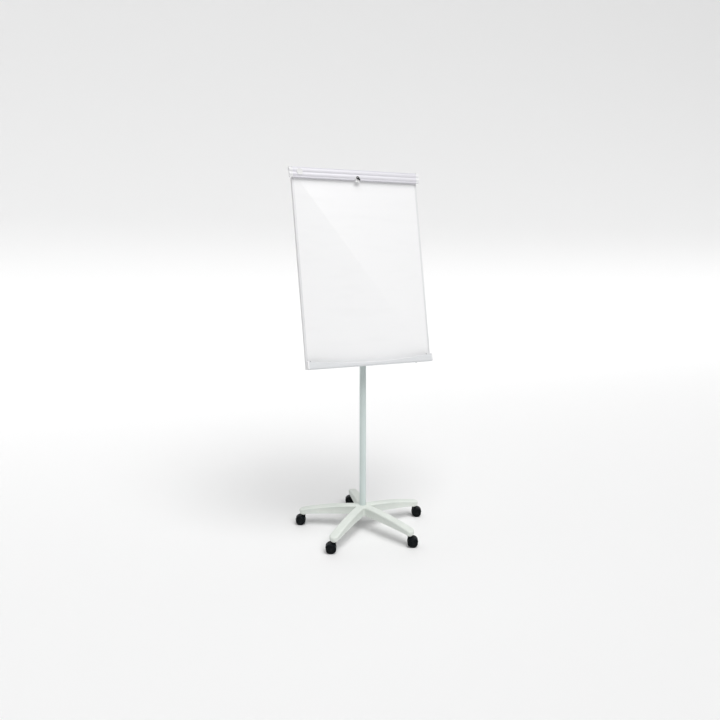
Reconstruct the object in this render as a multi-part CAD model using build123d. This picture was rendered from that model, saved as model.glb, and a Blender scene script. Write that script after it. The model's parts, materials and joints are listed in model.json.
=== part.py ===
"""Mobile flipchart easel: a tilting whiteboard on a telescopic post and a five-arm castor base.

Frame: millimetres, +Z up, origin on the floor under the post axis, +X to the viewer's right
along the board, the writing side faces -Y.
"""

from build123d import *
import math
import os

# ---- Board and its lean -------------------------------------------------------------------
BOARD_WIDTH = 700.0
BOARD_TOP = 1004.0
BOARD_LEAN = 11.8
BOARD_FOOT = (0.0, -109.5, 930.1)
FACE_SHEET = 0.8
CORE = 17.5
BACK_SHEET = 0.7
TRIM_WALL = 1.2
TRIM_FLANGE = 10.0

# ---- Clamp rail along the top of the board ------------------------------------------------
RAIL_LOW = 964.0
RAIL_HIGH = 1020.0
RAIL_BACK = 1.8
RAIL_HALF = 346.0
RAIL_CAP = 18.0
HINGE_DEPTH = -8.0
HINGE_HEIGHT = 1010.0
HINGE_PIN_RADIUS = 2.5
HOOK_OFFSET = 210.0
HOOK_HEIGHT = 981.0
HOOK_RADIUS = 4.0
LATCH_HEIGHT = 974.0
LATCH_PIN_RADIUS = 2.0
LATCH_PLATE_RADIUS = 12.5

# ---- Pen tray -----------------------------------------------------------------------------
TRAY_REACH = 30.0
TRAY_LIP_MIDDLE = 18.5
TRAY_LIP_END = 42.5
TRAY_WALL = 2.2
TRAY_CAP = 8.0

# ---- Column -------------------------------------------------------------------------------
POST_RADIUS = 17.5
POST_BORE = 16.0
POST_BOTTOM = 84.0
POST_TOP = 965.0
MAST_RADIUS = 15.0
MAST_BORE = 13.5
MAST_BOTTOM = 705.0
MAST_TOP = 1162.0
KNOB_HEIGHT = 948.0
SCREW_RADIUS = 4.0
LIFT_UP = 100.0
LIFT_DOWN = 200.0

# ---- Tilt head ----------------------------------------------------------------------------
PIVOT_HEIGHT = 1192.0
PIVOT_BOLT_RADIUS = 5.0
TONGUE_HALF = 10.0
EAR_WALL = 3.0
EAR_GAP = 0.4

# ---- Star base ----------------------------------------------------------------------------
ARM_COUNT = 5
FIRST_ARM = -138.9
STEM_CIRCLE = 334.5
ARM_HALF_WIDTH = 24.5
ARM_DRAFT = 1.0
ARM_EDGE = 8.0
ARM_SKIN = 3.5
ARM_FOOT = 60.0
CROTCH_RADIUS = 7.0
RIB_HALF = 1.5
CROSS_RIBS = (110.0, 190.0, 265.0)
SOCKET_BOTTOM = 61.0
SOCKET_TOP = 88.0
HUB_BOSS_RADIUS = 27.0

# ---- Castors ------------------------------------------------------------------------------
WHEEL_RADIUS = 25.0
WHEEL_INNER = 5.8
WHEEL_OUTER = 23.5
TRAIL = 18.0
STEM_RADIUS = 5.5
GRIP_RADIUS = 6.0
AXLE_RADIUS = 3.0
HOOD_RADIUS = 28.6
HOOD_BORE = 26.4
HOOD_EDGE = 9.0
HOOD_WALL = 1.6
HOOD_LEAN = 28.0
WHEEL_GAP = 0.7
HEADINGS = (157.0, -23.0, -23.0, 157.0, 157.0)

RUNNING_FIT = 0.05
BOARD_BACK = FACE_SHEET + CORE + BACK_SHEET
ON_BOARD = Location(BOARD_FOOT, (-BOARD_LEAN, 0, 0))


def write(name, shape):
    """Write one named piece."""
    solids = shape.solids()
    piece = solids[0] if len(solids) == 1 else Compound(children=list(solids))
    piece.label = name
    export_step(piece, os.path.join("parts", name + ".step"))


def drum(radius, low, high):
    """Upright round bar about the Z axis."""
    return Pos(0, 0, (low + high) / 2) * Cylinder(radius, high - low)


def drum_x(radius, low, high, y=0.0, z=0.0):
    """Round bar along X."""
    return Pos((low + high) / 2, y, z) * Rot(0, 90, 0) * Cylinder(radius, high - low)


def drum_y(radius, low, high, x=0.0, z=0.0):
    """Round bar along Y."""
    return Pos(x, (low + high) / 2, z) * Rot(90, 0, 0) * Cylinder(radius, high - low)


def slab(x_range, y_range, z_range):
    """Box between two corners."""
    ranges = (x_range, y_range, z_range)
    centre = [(low + high) / 2 for low, high in ranges]
    size = [high - low for low, high in ranges]
    return Pos(*centre) * Box(*size)


def prism_x(section, low, high):
    """Carry a section drawn as (depth, height) along X; depth grows backwards, along +Y."""
    return extrude(Plane.YZ.offset(low) * section, amount=high - low)


def mirrored_pair(shape):
    """The same piece on the right and, mirrored, on the left."""
    return Part() + [shape, mirror(shape, about=Plane.YZ)]


# ---- Star base ----------------------------------------------------------------------------

def arm_angles():
    """Headings of the arms, in degrees."""
    return [FIRST_ARM + 360.0 / ARM_COUNT * index for index in range(ARM_COUNT)]


def star_outline(half_width, reach, crotch):
    """Plan of the five round-ended arms, with rounded corners between them."""
    arm = Pos(reach / 2, 0) * Rectangle(reach, 2 * half_width) + Pos(reach, 0) * Circle(half_width)
    star = Sketch() + [Rot(0, 0, angle) * arm for angle in arm_angles()]
    near = [v for v in star.vertices() if math.hypot(v.X, v.Y) < 3 * half_width]
    return fillet(near, crotch)


def arch(top_drop, low_lift):
    """Body of revolution that gives the arms their arched top and their lower edge."""
    crown = [(0, 134), (90, 130.5), (190, 121.5), (270, 110), (325, 99), (362, 89)]
    crown = [(radius, height - top_drop) for radius, height in crown]
    keel = [(362, 69), (300, 70.5), (190, 80), (90, 84), (0, 85)]
    keel = [(radius, height + low_lift) for radius, height in keel]
    edges = [
        Spline(crown),
        Line(crown[-1], keel[0]),
        Spline(keel),
        Line(keel[-1], crown[0]),
    ]
    return revolve(Plane.XZ * make_face(edges), Axis.Z)


def around_arms(shape):
    """Repeat a piece made along +X on every arm."""
    return [Rot(0, 0, angle) * shape for angle in arm_angles()]


def star_prism(half_width, crotch):
    """The star's plan raised from the arms' foot with the walls' draft."""
    plan = star_outline(half_width, STEM_CIRCLE, crotch)
    return extrude(Pos(0, 0, ARM_FOOT) * plan, amount=90, taper=ARM_DRAFT)


def round_crown(body):
    """Round the edge where the arms' back meets their walls."""
    rim = [edge for edge in body.edges() if edge.bounding_box().min.Z > 88]
    return fillet(rim, ARM_EDGE)


def make_star():
    """Five hollow arms with ribs, a socket under each end and the hub that takes the post."""
    outer = round_crown(star_prism(ARM_HALF_WIDTH, CROTCH_RADIUS) & arch(0, 0))
    inner = star_prism(ARM_HALF_WIDTH - ARM_SKIN, CROTCH_RADIUS - 2) & arch(ARM_SKIN + 0.5, -10)
    star = outer - inner
    under_back = arch(2, 3)
    rib = slab((HUB_BOSS_RADIUS - 2, STEM_CIRCLE - 12), (-RIB_HALF, RIB_HALF), (ARM_FOOT, 150)) & under_back
    star += around_arms(rib)
    for reach in CROSS_RIBS:
        cross = slab((reach - 1.25, reach + 1.25), (-21, 21), (ARM_FOOT, 150)) & under_back
        star += [turned & outer for turned in around_arms(cross)]
    star += around_arms(Pos(STEM_CIRCLE, 0, 0) * drum(15.5, SOCKET_BOTTOM, 94))
    star += drum(HUB_BOSS_RADIUS, 78, 131)
    star -= around_arms(Pos(STEM_CIRCLE, 0, 0) * drum(GRIP_RADIUS, SOCKET_BOTTOM - 1, SOCKET_TOP))
    star -= drum(POST_RADIUS, POST_BOTTOM, 150)
    star -= drum(5.3, 70, POST_BOTTOM + 1)
    return star


def make_grip_rings():
    """Steel sleeve in each socket that the castor stem snaps into."""
    ring = drum(GRIP_RADIUS, SOCKET_BOTTOM + 1, SOCKET_TOP - 4)
    ring -= drum(STEM_RADIUS + RUNNING_FIT, SOCKET_BOTTOM, SOCKET_TOP)
    return Part() + around_arms(Pos(STEM_CIRCLE, 0, 0) * ring)


# ---- Castors ------------------------------------------------------------------------------

def castor_wheel(side):
    """Wheel about the Y axis at the wheel centre, on the side given as +1 or -1."""
    wheel = drum_y(WHEEL_RADIUS, WHEEL_INNER, WHEEL_OUTER)
    wheel = fillet(wheel.edges().sort_by(Axis.Y)[-1], 6.0)
    wheel = fillet(wheel.edges().sort_by(Axis.Y)[0], 2.5)
    wheel -= drum_y(17.0, WHEEL_OUTER - 2, WHEEL_OUTER) - drum_y(7.0, WHEEL_OUTER - 2, WHEEL_OUTER)
    wheel -= drum_y(AXLE_RADIUS + RUNNING_FIT, WHEEL_INNER - 1, WHEEL_OUTER - 3)
    return wheel if side > 0 else mirror(wheel, about=Plane.XZ)


def above_lean(low):
    """Everything above a plane through the axle that leans down towards the stem."""
    return Rot(0, HOOD_LEAN, 0) * slab((-40, 40), (-40, 40), (low, 40))


def castor_housing():
    """Web between the wheels, hood over them and the boss for the stem."""
    web_half = WHEEL_INNER - 0.6
    web = drum_y(HOOD_BORE + 1, -web_half, web_half)
    inside = WHEEL_OUTER + WHEEL_GAP
    outside = inside + HOOD_WALL
    hood = fillet(drum_y(HOOD_RADIUS, -outside, outside).edges(), HOOD_EDGE)
    hood -= fillet(drum_y(HOOD_BORE, -inside, inside).edges(), HOOD_EDGE - HOOD_WALL)
    hood -= drum_y(HOOD_BORE - 3.5, -40, 40)
    body = (hood & above_lean(-4)) + (web & above_lean(-13))
    boss = Pos(TRAIL, 0, 0) * drum(9.5, 2, SOCKET_BOTTOM - WHEEL_RADIUS - 3.5)
    boss -= drum_y(HOOD_BORE, web_half, 30)
    boss -= drum_y(HOOD_BORE, -30, -web_half)
    body += boss
    body -= drum_y(AXLE_RADIUS, -10, 10)
    return body - Pos(TRAIL, 0, 0) * drum(STEM_RADIUS, 8, 60)


def castor_stem():
    """Steel stem on its own axis, with the collar that carries the socket."""
    stem = drum(STEM_RADIUS, WHEEL_RADIUS + 8, SOCKET_TOP - 1)
    collar = drum(9.0, SOCKET_BOTTOM - 3.5, SOCKET_BOTTOM - 0.3)
    return chamfer(stem.edges().group_by(Axis.Z)[-1], 1.5) + collar


def make_castors():
    """Housing, stem, axle and two wheels of every castor, in its own heading."""
    for index, angle in enumerate(arm_angles()):
        name = "castor_{}".format(index + 1)
        reach = math.radians(angle)
        stem_place = Pos(STEM_CIRCLE * math.cos(reach), STEM_CIRCLE * math.sin(reach), 0)
        turned = stem_place * Rot(0, 0, HEADINGS[index] + 180)
        wheel_place = turned * Pos(-TRAIL, 0, WHEEL_RADIUS)
        write(name + "_housing", wheel_place * castor_housing())
        write(name + "_stem", stem_place * castor_stem())
        write(name + "_axle", wheel_place * drum_y(AXLE_RADIUS, -WHEEL_OUTER + 3.5, WHEEL_OUTER - 3.5))
        write(name + "_wheel_left", wheel_place * castor_wheel(1))
        write(name + "_wheel_right", wheel_place * castor_wheel(-1))


# ---- Column -------------------------------------------------------------------------------

def make_post():
    """Lower tube, bored across near its top for the clamp screw."""
    tube = drum(POST_RADIUS, POST_BOTTOM, POST_TOP) - drum(POST_BORE, POST_BOTTOM, POST_TOP)
    return tube - drum_y(SCREW_RADIUS + 0.5, 0, 30, z=KNOB_HEIGHT)


def make_post_plug():
    """Plug in the foot of the post, which takes the base bolt."""
    plug = drum(POST_BORE, POST_BOTTOM, POST_BOTTOM + 36)
    return plug - drum(PIVOT_BOLT_RADIUS, POST_BOTTOM, POST_BOTTOM + 32)


def make_base_bolt():
    """Bolt and washer that pull the post down into the hub."""
    head = extrude(Pos(0, 0, 69) * RegularPolygon(9.2, 6), amount=6.5)
    bolt = head + drum(PIVOT_BOLT_RADIUS, 75, POST_BOTTOM + 30)
    washer = drum(13, 75.5, 78) - drum(PIVOT_BOLT_RADIUS + 0.3, 75, 79)
    return Part() + [bolt, washer]


def make_guide_bush():
    """Sleeve in the top of the post that the mast slides in."""
    bush = drum(POST_BORE, POST_TOP - 40, POST_TOP) + drum(POST_RADIUS, POST_TOP, POST_TOP + 3)
    bush -= drum(MAST_RADIUS + RUNNING_FIT, POST_TOP - 41, POST_TOP + 4)
    return bush - drum_y(SCREW_RADIUS + 0.5, 0, 30, z=KNOB_HEIGHT)


def make_clamp_collar():
    """Collar round the top of the post, with the boss for the clamp screw."""
    collar = drum(23.5, POST_TOP - 36, POST_TOP)
    collar = fillet(collar.edges(), 2.0)
    boss = drum_y(10.5, 18, 33, z=KNOB_HEIGHT)
    boss = chamfer(boss.edges().group_by(Axis.Y)[-1], 1.5)
    collar += boss
    collar -= drum(POST_RADIUS, POST_TOP - 37, POST_TOP + 1)
    return collar - drum_y(SCREW_RADIUS + RUNNING_FIT, 0, 40, z=KNOB_HEIGHT)


def make_mast_tube():
    """Sliding tube with the groove that the clamp screw runs in."""
    tube = drum(MAST_RADIUS, MAST_BOTTOM, MAST_TOP) - drum(MAST_BORE, MAST_BOTTOM, MAST_TOP)
    groove_low = KNOB_HEIGHT - LIFT_UP - 10
    groove_high = KNOB_HEIGHT + LIFT_DOWN + 10
    groove_wide = SCREW_RADIUS + 0.5
    return tube - slab((-groove_wide, groove_wide), (14.1, 16), (groove_low, groove_high))


def make_foot_bush():
    """Foot of the mast, which keeps it in line inside the post."""
    bush = drum(POST_BORE - RUNNING_FIT, MAST_BOTTOM - 14, MAST_BOTTOM)
    bush = chamfer(bush.edges().group_by(Axis.Z)[0], 1.5)
    bush += drum(MAST_BORE, MAST_BOTTOM, MAST_BOTTOM + 24)
    return bush - drum(9.0, MAST_BOTTOM - 15, MAST_BOTTOM + 25)


def lobed_knob(radius, length, lobes):
    """Hand knob along +Z from its base, with finger lobes and a domed top."""
    knob = drum(radius, 0, length)
    knob = fillet(knob.edges().group_by(Axis.Z)[-1], 4.0)
    for index in range(lobes):
        angle = 360.0 / lobes * index
        knob -= Rot(0, 0, angle) * Pos(radius + 4.5, 0, 0) * drum(8.0, -1, length + 1)
    return knob + drum(radius * 0.55, -4, 0)


def make_height_knob():
    """Knob moulded on the clamp screw."""
    knob = Pos(0, 38, KNOB_HEIGHT) * Rot(-90, 0, 0) * lobed_knob(19.0, 20, 6)
    return knob - drum_y(SCREW_RADIUS, 30, 52, z=KNOB_HEIGHT)


def make_height_screw():
    """Clamp screw, whose nose sits in the groove of the mast."""
    screw = drum_y(SCREW_RADIUS, 14.2, 51, z=KNOB_HEIGHT)
    return chamfer(screw.edges().group_by(Axis.Y)[0], 0.8)


# ---- Tilt head ----------------------------------------------------------------------------

def make_tilt_tongue():
    """Solid head on the mast: a spigot in the tube, a flange and the upright eye."""
    head = drum(MAST_BORE, MAST_TOP - 30, MAST_TOP) + drum(16, MAST_TOP, MAST_TOP + 4)
    eye = drum_x(16, -TONGUE_HALF, TONGUE_HALF, z=PIVOT_HEIGHT)
    eye += slab((-TONGUE_HALF, TONGUE_HALF), (-12, 12), (MAST_TOP + 3, PIVOT_HEIGHT))
    head += eye
    return head - drum_x(PIVOT_BOLT_RADIUS + RUNNING_FIT, -30, 30, z=PIVOT_HEIGHT)


def pivot_on_board():
    """Depth behind the board face and height up the board of the tilt pivot."""
    lean = math.radians(BOARD_LEAN)
    rise = PIVOT_HEIGHT - BOARD_FOOT[2]
    back = -BOARD_FOOT[1]
    depth = back * math.cos(lean) - rise * math.sin(lean)
    height = back * math.sin(lean) + rise * math.cos(lean)
    return depth, height


def make_board_bracket():
    """Plate on the board's back with two ears beside the tongue."""
    depth, height = pivot_on_board()
    plate_back = BOARD_BACK + 3.0
    plate = slab((-100, 100), (BOARD_BACK, plate_back), (height - 60, height + 60))
    plate = fillet(plate.edges().filter_by(Axis.Y), 12)
    edges = [
        Line((plate_back - 1, height - 30), (plate_back - 1, height + 50)),
        Line((plate_back - 1, height + 50), (depth + 4, height + 14)),
        RadiusArc((depth + 4, height + 14), (depth + 4, height - 14), 14.6),
        Line((depth + 4, height - 14), (depth - 14, height - 14)),
        Line((depth - 14, height - 14), (plate_back - 1, height - 30)),
    ]
    inner = TONGUE_HALF + EAR_GAP
    ear = prism_x(make_face(edges), inner, inner + EAR_WALL)
    bracket = plate + ear + mirror(ear, about=Plane.YZ)
    bracket -= drum_x(PIVOT_BOLT_RADIUS, -30, 30, y=depth, z=height)
    return bracket - bracket_screw_shanks(BOARD_BACK - 5, plate_back)


def bracket_screw_shanks(low, high):
    """Shanks of the four bracket screws between two depths."""
    height = pivot_on_board()[1]
    places = [(x, height + z) for x in (-80, 80) for z in (-42, 42)]
    return Part() + [drum_y(2.5, low, high, x=x, z=z) for x, z in places]


def make_bracket_screws():
    """Four screws that hold the bracket to the board."""
    plate_back = BOARD_BACK + 3.0
    height = pivot_on_board()[1]
    head = fillet(drum_y(5.0, plate_back, plate_back + 3).edges().group_by(Axis.Y)[-1], 1.5)
    screw = head + drum_y(2.5, BOARD_BACK - 12, plate_back)
    return Part() + [Pos(x, 0, height + z) * screw for x in (-80, 80) for z in (-42, 42)]


def make_pivot_bolt():
    """Bolt through both ears, held by the ears, with its thread reaching the tilt knob."""
    depth, height = pivot_on_board()
    outer_ear = TONGUE_HALF + EAR_GAP + EAR_WALL
    bolt = drum_x(PIVOT_BOLT_RADIUS, -outer_ear, outer_ear + 16)
    head = fillet(drum_x(9.0, -outer_ear - 5, -outer_ear).edges().group_by(Axis.X)[0], 3.0)
    return Pos(0, depth, height) * (bolt + head)


def make_tilt_knob():
    """Knob on the thread of the pivot bolt."""
    depth, height = pivot_on_board()
    outer_ear = TONGUE_HALF + EAR_GAP + EAR_WALL
    knob = Pos(outer_ear + 4.3, 0, 0) * Rot(0, 90, 0) * lobed_knob(19.0, 18, 6)
    knob -= drum_x(PIVOT_BOLT_RADIUS + RUNNING_FIT, 0, outer_ear + 16.2)
    return Pos(0, depth, height) * knob


# ---- Board --------------------------------------------------------------------------------

def board_layer(front, back):
    """One flat layer of the board between two depths, with its screw holes."""
    half = BOARD_WIDTH / 2 - TRIM_WALL
    layer = slab((-half, half), (front, back), (TRIM_WALL + 3, BOARD_TOP))
    layer -= face_screw_holes()
    return layer


def face_screw_holes():
    """Holes for the two screws that hold the tray."""
    return [drum_y(1.8, -5, 15, x=x, z=42) for x in (-327, 327)]


def make_core():
    """Card core between the two sheets, with holes for the bracket screws."""
    core = board_layer(FACE_SHEET, FACE_SHEET + CORE)
    return core - bracket_screw_shanks(BOARD_BACK - 12, BOARD_BACK)


def make_back_sheet():
    """Steel sheet on the back of the board."""
    return board_layer(FACE_SHEET + CORE, BOARD_BACK) - bracket_screw_shanks(BOARD_BACK - 12, BOARD_BACK + 1)


def trim_section(outer, flange):
    """U section that wraps an edge of the board, opening towards +X from its outer face."""
    deep = BOARD_BACK + TRIM_WALL
    wrap = Pos(outer + flange / 2, deep / 2 - TRIM_WALL / 2) * Rectangle(flange, deep + TRIM_WALL)
    hollow = Pos(outer + TRIM_WALL + flange / 2, BOARD_BACK / 2) * Rectangle(flange, BOARD_BACK)
    return wrap - hollow


def make_side_trims():
    """U trims on the board's sides."""
    left = extrude(Pos(0, 0, 3) * trim_section(-BOARD_WIDTH / 2, TRIM_FLANGE), amount=968)
    return mirrored_pair(left)


def make_bottom_trim():
    """U trim on the board's foot, between the side trims."""
    half = BOARD_WIDTH / 2 - TRIM_FLANGE
    deep = BOARD_BACK + TRIM_WALL
    wrap = slab((-half, half), (-TRIM_WALL, deep), (3, 3 + TRIM_FLANGE))
    return wrap - slab((-half, half), (0, BOARD_BACK), (3 + TRIM_WALL, 20))


def make_stiffeners():
    """Two hat rails up the back of the board."""
    hat = slab((-11, 11), (BOARD_BACK, BOARD_BACK + 13), (45, 975))
    hat -= slab((-9.8, 9.8), (BOARD_BACK, BOARD_BACK + 11.8), (45, 975))
    hat += slab((-20, -9.8), (BOARD_BACK, BOARD_BACK + 1.2), (45, 975))
    hat += slab((9.8, 20), (BOARD_BACK, BOARD_BACK + 1.2), (45, 975))
    return mirrored_pair(Pos(190, 0, 0) * hat)


def make_top_rail():
    """Cap over the board's top edge with the front channel that guides the pad hooks."""
    back = -BOARD_BACK - TRIM_WALL
    swing = TRIM_WALL - HINGE_DEPTH
    crest = 6.0
    crest_front = HINGE_DEPTH + math.sqrt(swing ** 2 - crest ** 2)
    corner = [(TRIM_WALL, HINGE_HEIGHT), (crest_front, HINGE_HEIGHT + crest)]
    low = HOOK_HEIGHT - 9
    high = HOOK_HEIGHT + 9
    outline = [
        corner[1], (back, HINGE_HEIGHT + crest), (back, 994), (back + TRIM_WALL, 994),
        (back + TRIM_WALL, BOARD_TOP), (0, BOARD_TOP), (0, low), (5, low), (5, low + 4),
        (3.8, low + 4), (3.8, low + 1.4), (1.2, low + 1.4), (1.2, high - 1.4), (3.8, high - 1.4),
        (3.8, high - 4), (5, high - 4), (5, high), (TRIM_WALL, high), corner[0],
    ]
    points = [(-front, height) for front, height in outline]
    edges = [Polyline(points), RadiusArc(points[-1], points[0], -swing)]
    rail = prism_x(make_face(edges), -BOARD_WIDTH / 2, BOARD_WIDTH / 2)
    return rail - hinge_bores(HINGE_PIN_RADIUS)


def hinge_bores(radius):
    """Round bars on the clamp hinge axis, one in from each end of the rail."""
    reach = BOARD_WIDTH / 2 + 11
    right = drum_x(radius, BOARD_WIDTH / 2 - 22, reach, y=-HINGE_DEPTH, z=HINGE_HEIGHT)
    return mirrored_pair(right)


# ---- Clamp bar ----------------------------------------------------------------------------

def clamp_outline(grow):
    """Outer section of the clamp bar: two soft ribs with a groove between and a lip below."""
    edges = [
        Polyline([
            (-RAIL_BACK, RAIL_HIGH + grow), (-RAIL_BACK, RAIL_LOW - grow),
            (-13.5 - grow, RAIL_LOW - grow), (-15 - grow, RAIL_LOW + 2), (-13 - grow, RAIL_LOW + 5),
        ]),
        RadiusArc((-13 - grow, RAIL_LOW + 5), (-13.5 - grow, 990.5), 19),
        RadiusArc((-13.5 - grow, 990.5), (-6 - grow, RAIL_HIGH + grow), 24),
        Line((-6 - grow, RAIL_HIGH + grow), (-RAIL_BACK, RAIL_HIGH + grow)),
    ]
    return make_face(edges)


def make_clamp_bar():
    """Hinged bar, hollow over the pad hooks, with seats for the badge and the latch."""
    bar = prism_x(clamp_outline(0), -RAIL_HALF, RAIL_HALF)
    bar -= slab((-RAIL_HALF, RAIL_HALF), (-11.5, 0), (RAIL_LOW + 5, 1001))
    recess = slab((LATCH_PLATE_RADIUS + 3, RAIL_HALF), (-14.5, -11.5), (975, 986.5))
    bar -= mirrored_pair(recess)
    bar -= slab((-RAIL_HALF, RAIL_HALF), (-10.5, -4.5), (1004, 1015))
    bar -= badge_disc()
    bar -= latch_disc()
    return bar - latch_pin()


def make_clamp_caps():
    """End caps of the clamp bar, each with an ear on its hinge pin."""
    cap = prism_x(clamp_outline(0.8), RAIL_HALF, RAIL_HALF + RAIL_CAP)
    right_end = cap.faces().sort_by(Axis.X)[-1]
    cap = chamfer(right_end.edges(), 0.8)
    ear_low = BOARD_WIDTH / 2 + 2.5
    ear_high = RAIL_HALF + RAIL_CAP - 2
    cap += drum_x(7.0, ear_low, ear_high, y=-HINGE_DEPTH, z=HINGE_HEIGHT)
    cap += slab((ear_low, ear_high), (-RAIL_BACK - 1, -HINGE_DEPTH), (HINGE_HEIGHT - 7, HINGE_HEIGHT + 7))
    cap -= hinge_bores(HINGE_PIN_RADIUS + RUNNING_FIT)
    cap -= slab((RAIL_HALF, BOARD_WIDTH / 2 + 1), (-11.5, 0), (RAIL_LOW + 5, 1001))
    return mirrored_pair(cap)


def badge_disc():
    """Plain round badge let into the left end of the clamp bar."""
    return drum_y(16.0, -18.6, -16.4, x=-310, z=992)


def latch_pin():
    """Pivot of the latch, through the bar near its lower edge."""
    return drum_y(LATCH_PIN_RADIUS, -24.6, -11.6, z=LATCH_HEIGHT)


def latch_disc():
    """Round seat of the latch, let into the front of the bar."""
    return drum_y(LATCH_PLATE_RADIUS, -18.8, -14.6, z=LATCH_HEIGHT - 2)


def latch_blade():
    """Comma-shaped lever: a round eye with a tail that sweeps down to the right."""
    edges = [
        ThreePointArc((5.5, 978.5), (-6.5, 976.5), (-1.5, 967.3)),
        Spline([(-1.5, 967.3), (5.0, 965.0), (12.0, 958.5)]),
        Line((12.0, 958.5), (14.5, 960.5)),
        Spline([(14.5, 960.5), (10.5, 970.0), (5.5, 978.5)]),
    ]
    return extrude(Plane.XZ.offset(19) * make_face(edges), amount=5)


def make_latch():
    """Lever with the hole for its pin."""
    return latch_blade() - drum_y(LATCH_PIN_RADIUS + RUNNING_FIT, -30, 0, z=LATCH_HEIGHT)


def make_latch_plate():
    """White plate behind the latch, with the pivot pin and two finger lobes below the bar."""
    plate = latch_disc() + latch_pin()
    plate += [drum_y(6.0, -18.0, -15.2, x=x, z=956) for x in (-6.5, 6.5)]
    return plate


def make_pad_hook():
    """Slider that runs in the rail's channel, with the peg that carries the pad."""
    slider = slab((-11, 11), (-3.7, -1.3), (HOOK_HEIGHT - 7.5, HOOK_HEIGHT + 7.5))
    slider += slab((-11, 11), (-5.4, -3.7), (HOOK_HEIGHT - 4.9, HOOK_HEIGHT + 4.9))
    peg = drum_y(HOOK_RADIUS, -14.0, -5.4, x=0, z=HOOK_HEIGHT)
    return slider + chamfer(peg.edges().group_by(Axis.Y)[0], 1.0)


# ---- Pen tray -----------------------------------------------------------------------------

def tray_outline(reach):
    """Outer section of the tray: upright back, flat floor, round corner and a tall front lip."""
    edges = [
        Polyline([
            (-1.2, TRAY_LIP_END), (-1.2, 0), (-(reach - 10), 0),
        ]),
        RadiusArc((-(reach - 10), 0), (-reach, 10), 10),
        Line((-reach, 10), (-(reach - 2), TRAY_LIP_END)),
        Line((-(reach - 2), TRAY_LIP_END), (-1.2, TRAY_LIP_END)),
    ]
    return make_face(edges)


def lip_scoop(half):
    """Everything above the scooped top edge of the lip."""
    edges = [
        ThreePointArc((-half, TRAY_LIP_END), (0, TRAY_LIP_MIDDLE), (half, TRAY_LIP_END)),
        Polyline([(half, TRAY_LIP_END), (half, 60), (-half, 60), (-half, TRAY_LIP_END)]),
    ]
    return extrude(Plane.XZ * make_face(edges), amount=60)


def make_tray():
    """Open trough with its front lip scooped down towards the middle."""
    half = BOARD_WIDTH / 2 - TRAY_CAP
    section = tray_outline(TRAY_REACH)
    tray = prism_x(section, -half, half)
    tray -= prism_x(offset(section, -TRAY_WALL, kind=Kind.INTERSECTION), -half, half)
    tray -= slab((-half, half), (-TRAY_REACH + 1, 0), (TRAY_LIP_END - 4, TRAY_LIP_END + 1))
    tray -= lip_scoop(BOARD_WIDTH / 2)
    tray -= slab((-half, half), (-8, 0), (16, 60))
    return tray - Pos(255, -14, 0) * drum(2.0, -1, 5)


def make_tray_caps():
    """Plates that close the ends of the tray."""
    half = BOARD_WIDTH / 2
    cap = prism_x(tray_outline(TRAY_REACH + 0.8), half - TRAY_CAP, half)
    cap = fillet(cap.faces().sort_by(Axis.X)[-1].edges().sort_by(Axis.Y)[:2], 1.5)
    return mirrored_pair(cap)


def make_tray_screws():
    """Two screws through the face and one under the tray."""
    face = drum_y(3.6, -1.4, 0, x=0, z=42) + drum_y(1.8, 0, 15, x=0, z=42)
    below = Pos(255, -14, 0) * (drum(4.0, -3.5, 0) + drum(2.0, 0, 4.5))
    return Part() + [Pos(-327, 0, 0) * face, Pos(327, 0, 0) * face, below]


# ---- All pieces ---------------------------------------------------------------------------

def main():
    """Write every piece."""
    os.makedirs("parts", exist_ok=True)
    write("base_star", make_star())
    write("stem_grip_rings", make_grip_rings())
    make_castors()
    write("post_tube", make_post())
    write("post_plug", make_post_plug())
    write("base_bolt", make_base_bolt())
    write("guide_bush", make_guide_bush())
    write("clamp_collar", make_clamp_collar())
    write("mast_tube", make_mast_tube())
    write("mast_foot_bush", make_foot_bush())
    write("tilt_tongue", make_tilt_tongue())
    write("height_knob", make_height_knob())
    write("height_screw", make_height_screw())

    on_board = {
        "board_face": board_layer(0, FACE_SHEET),
        "board_core": make_core(),
        "board_back_sheet": make_back_sheet(),
        "side_trims": make_side_trims(),
        "bottom_trim": make_bottom_trim(),
        "back_stiffeners": make_stiffeners(),
        "board_bracket": make_board_bracket(),
        "bracket_screws": make_bracket_screws(),
        "pivot_bolt": make_pivot_bolt(),
        "tilt_knob": make_tilt_knob(),
        "top_rail": make_top_rail(),
        "clamp_hinge_pins": hinge_bores(HINGE_PIN_RADIUS),
        "clamp_bar": make_clamp_bar(),
        "clamp_end_caps": make_clamp_caps(),
        "clamp_badge": badge_disc(),
        "latch_plate": make_latch_plate(),
        "clamp_latch": make_latch(),
        "pad_hook_left": Pos(-HOOK_OFFSET, 0, 0) * make_pad_hook(),
        "pad_hook_right": Pos(HOOK_OFFSET, 0, 0) * make_pad_hook(),
        "pen_tray": make_tray(),
        "tray_end_caps": make_tray_caps(),
        "tray_screws": make_tray_screws(),
    }
    for name, shape in on_board.items():
        write(name, ON_BOARD * shape)


main()
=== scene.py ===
"""Finished meshes and materials for a mobile flipchart easel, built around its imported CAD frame.

Local sizes are in millimetres and are placed in the row frame, in metres, by a Place.
"""

import json
import logging
import math
from dataclasses import dataclass, field
from enum import Enum
from typing import Callable, Sequence

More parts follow.
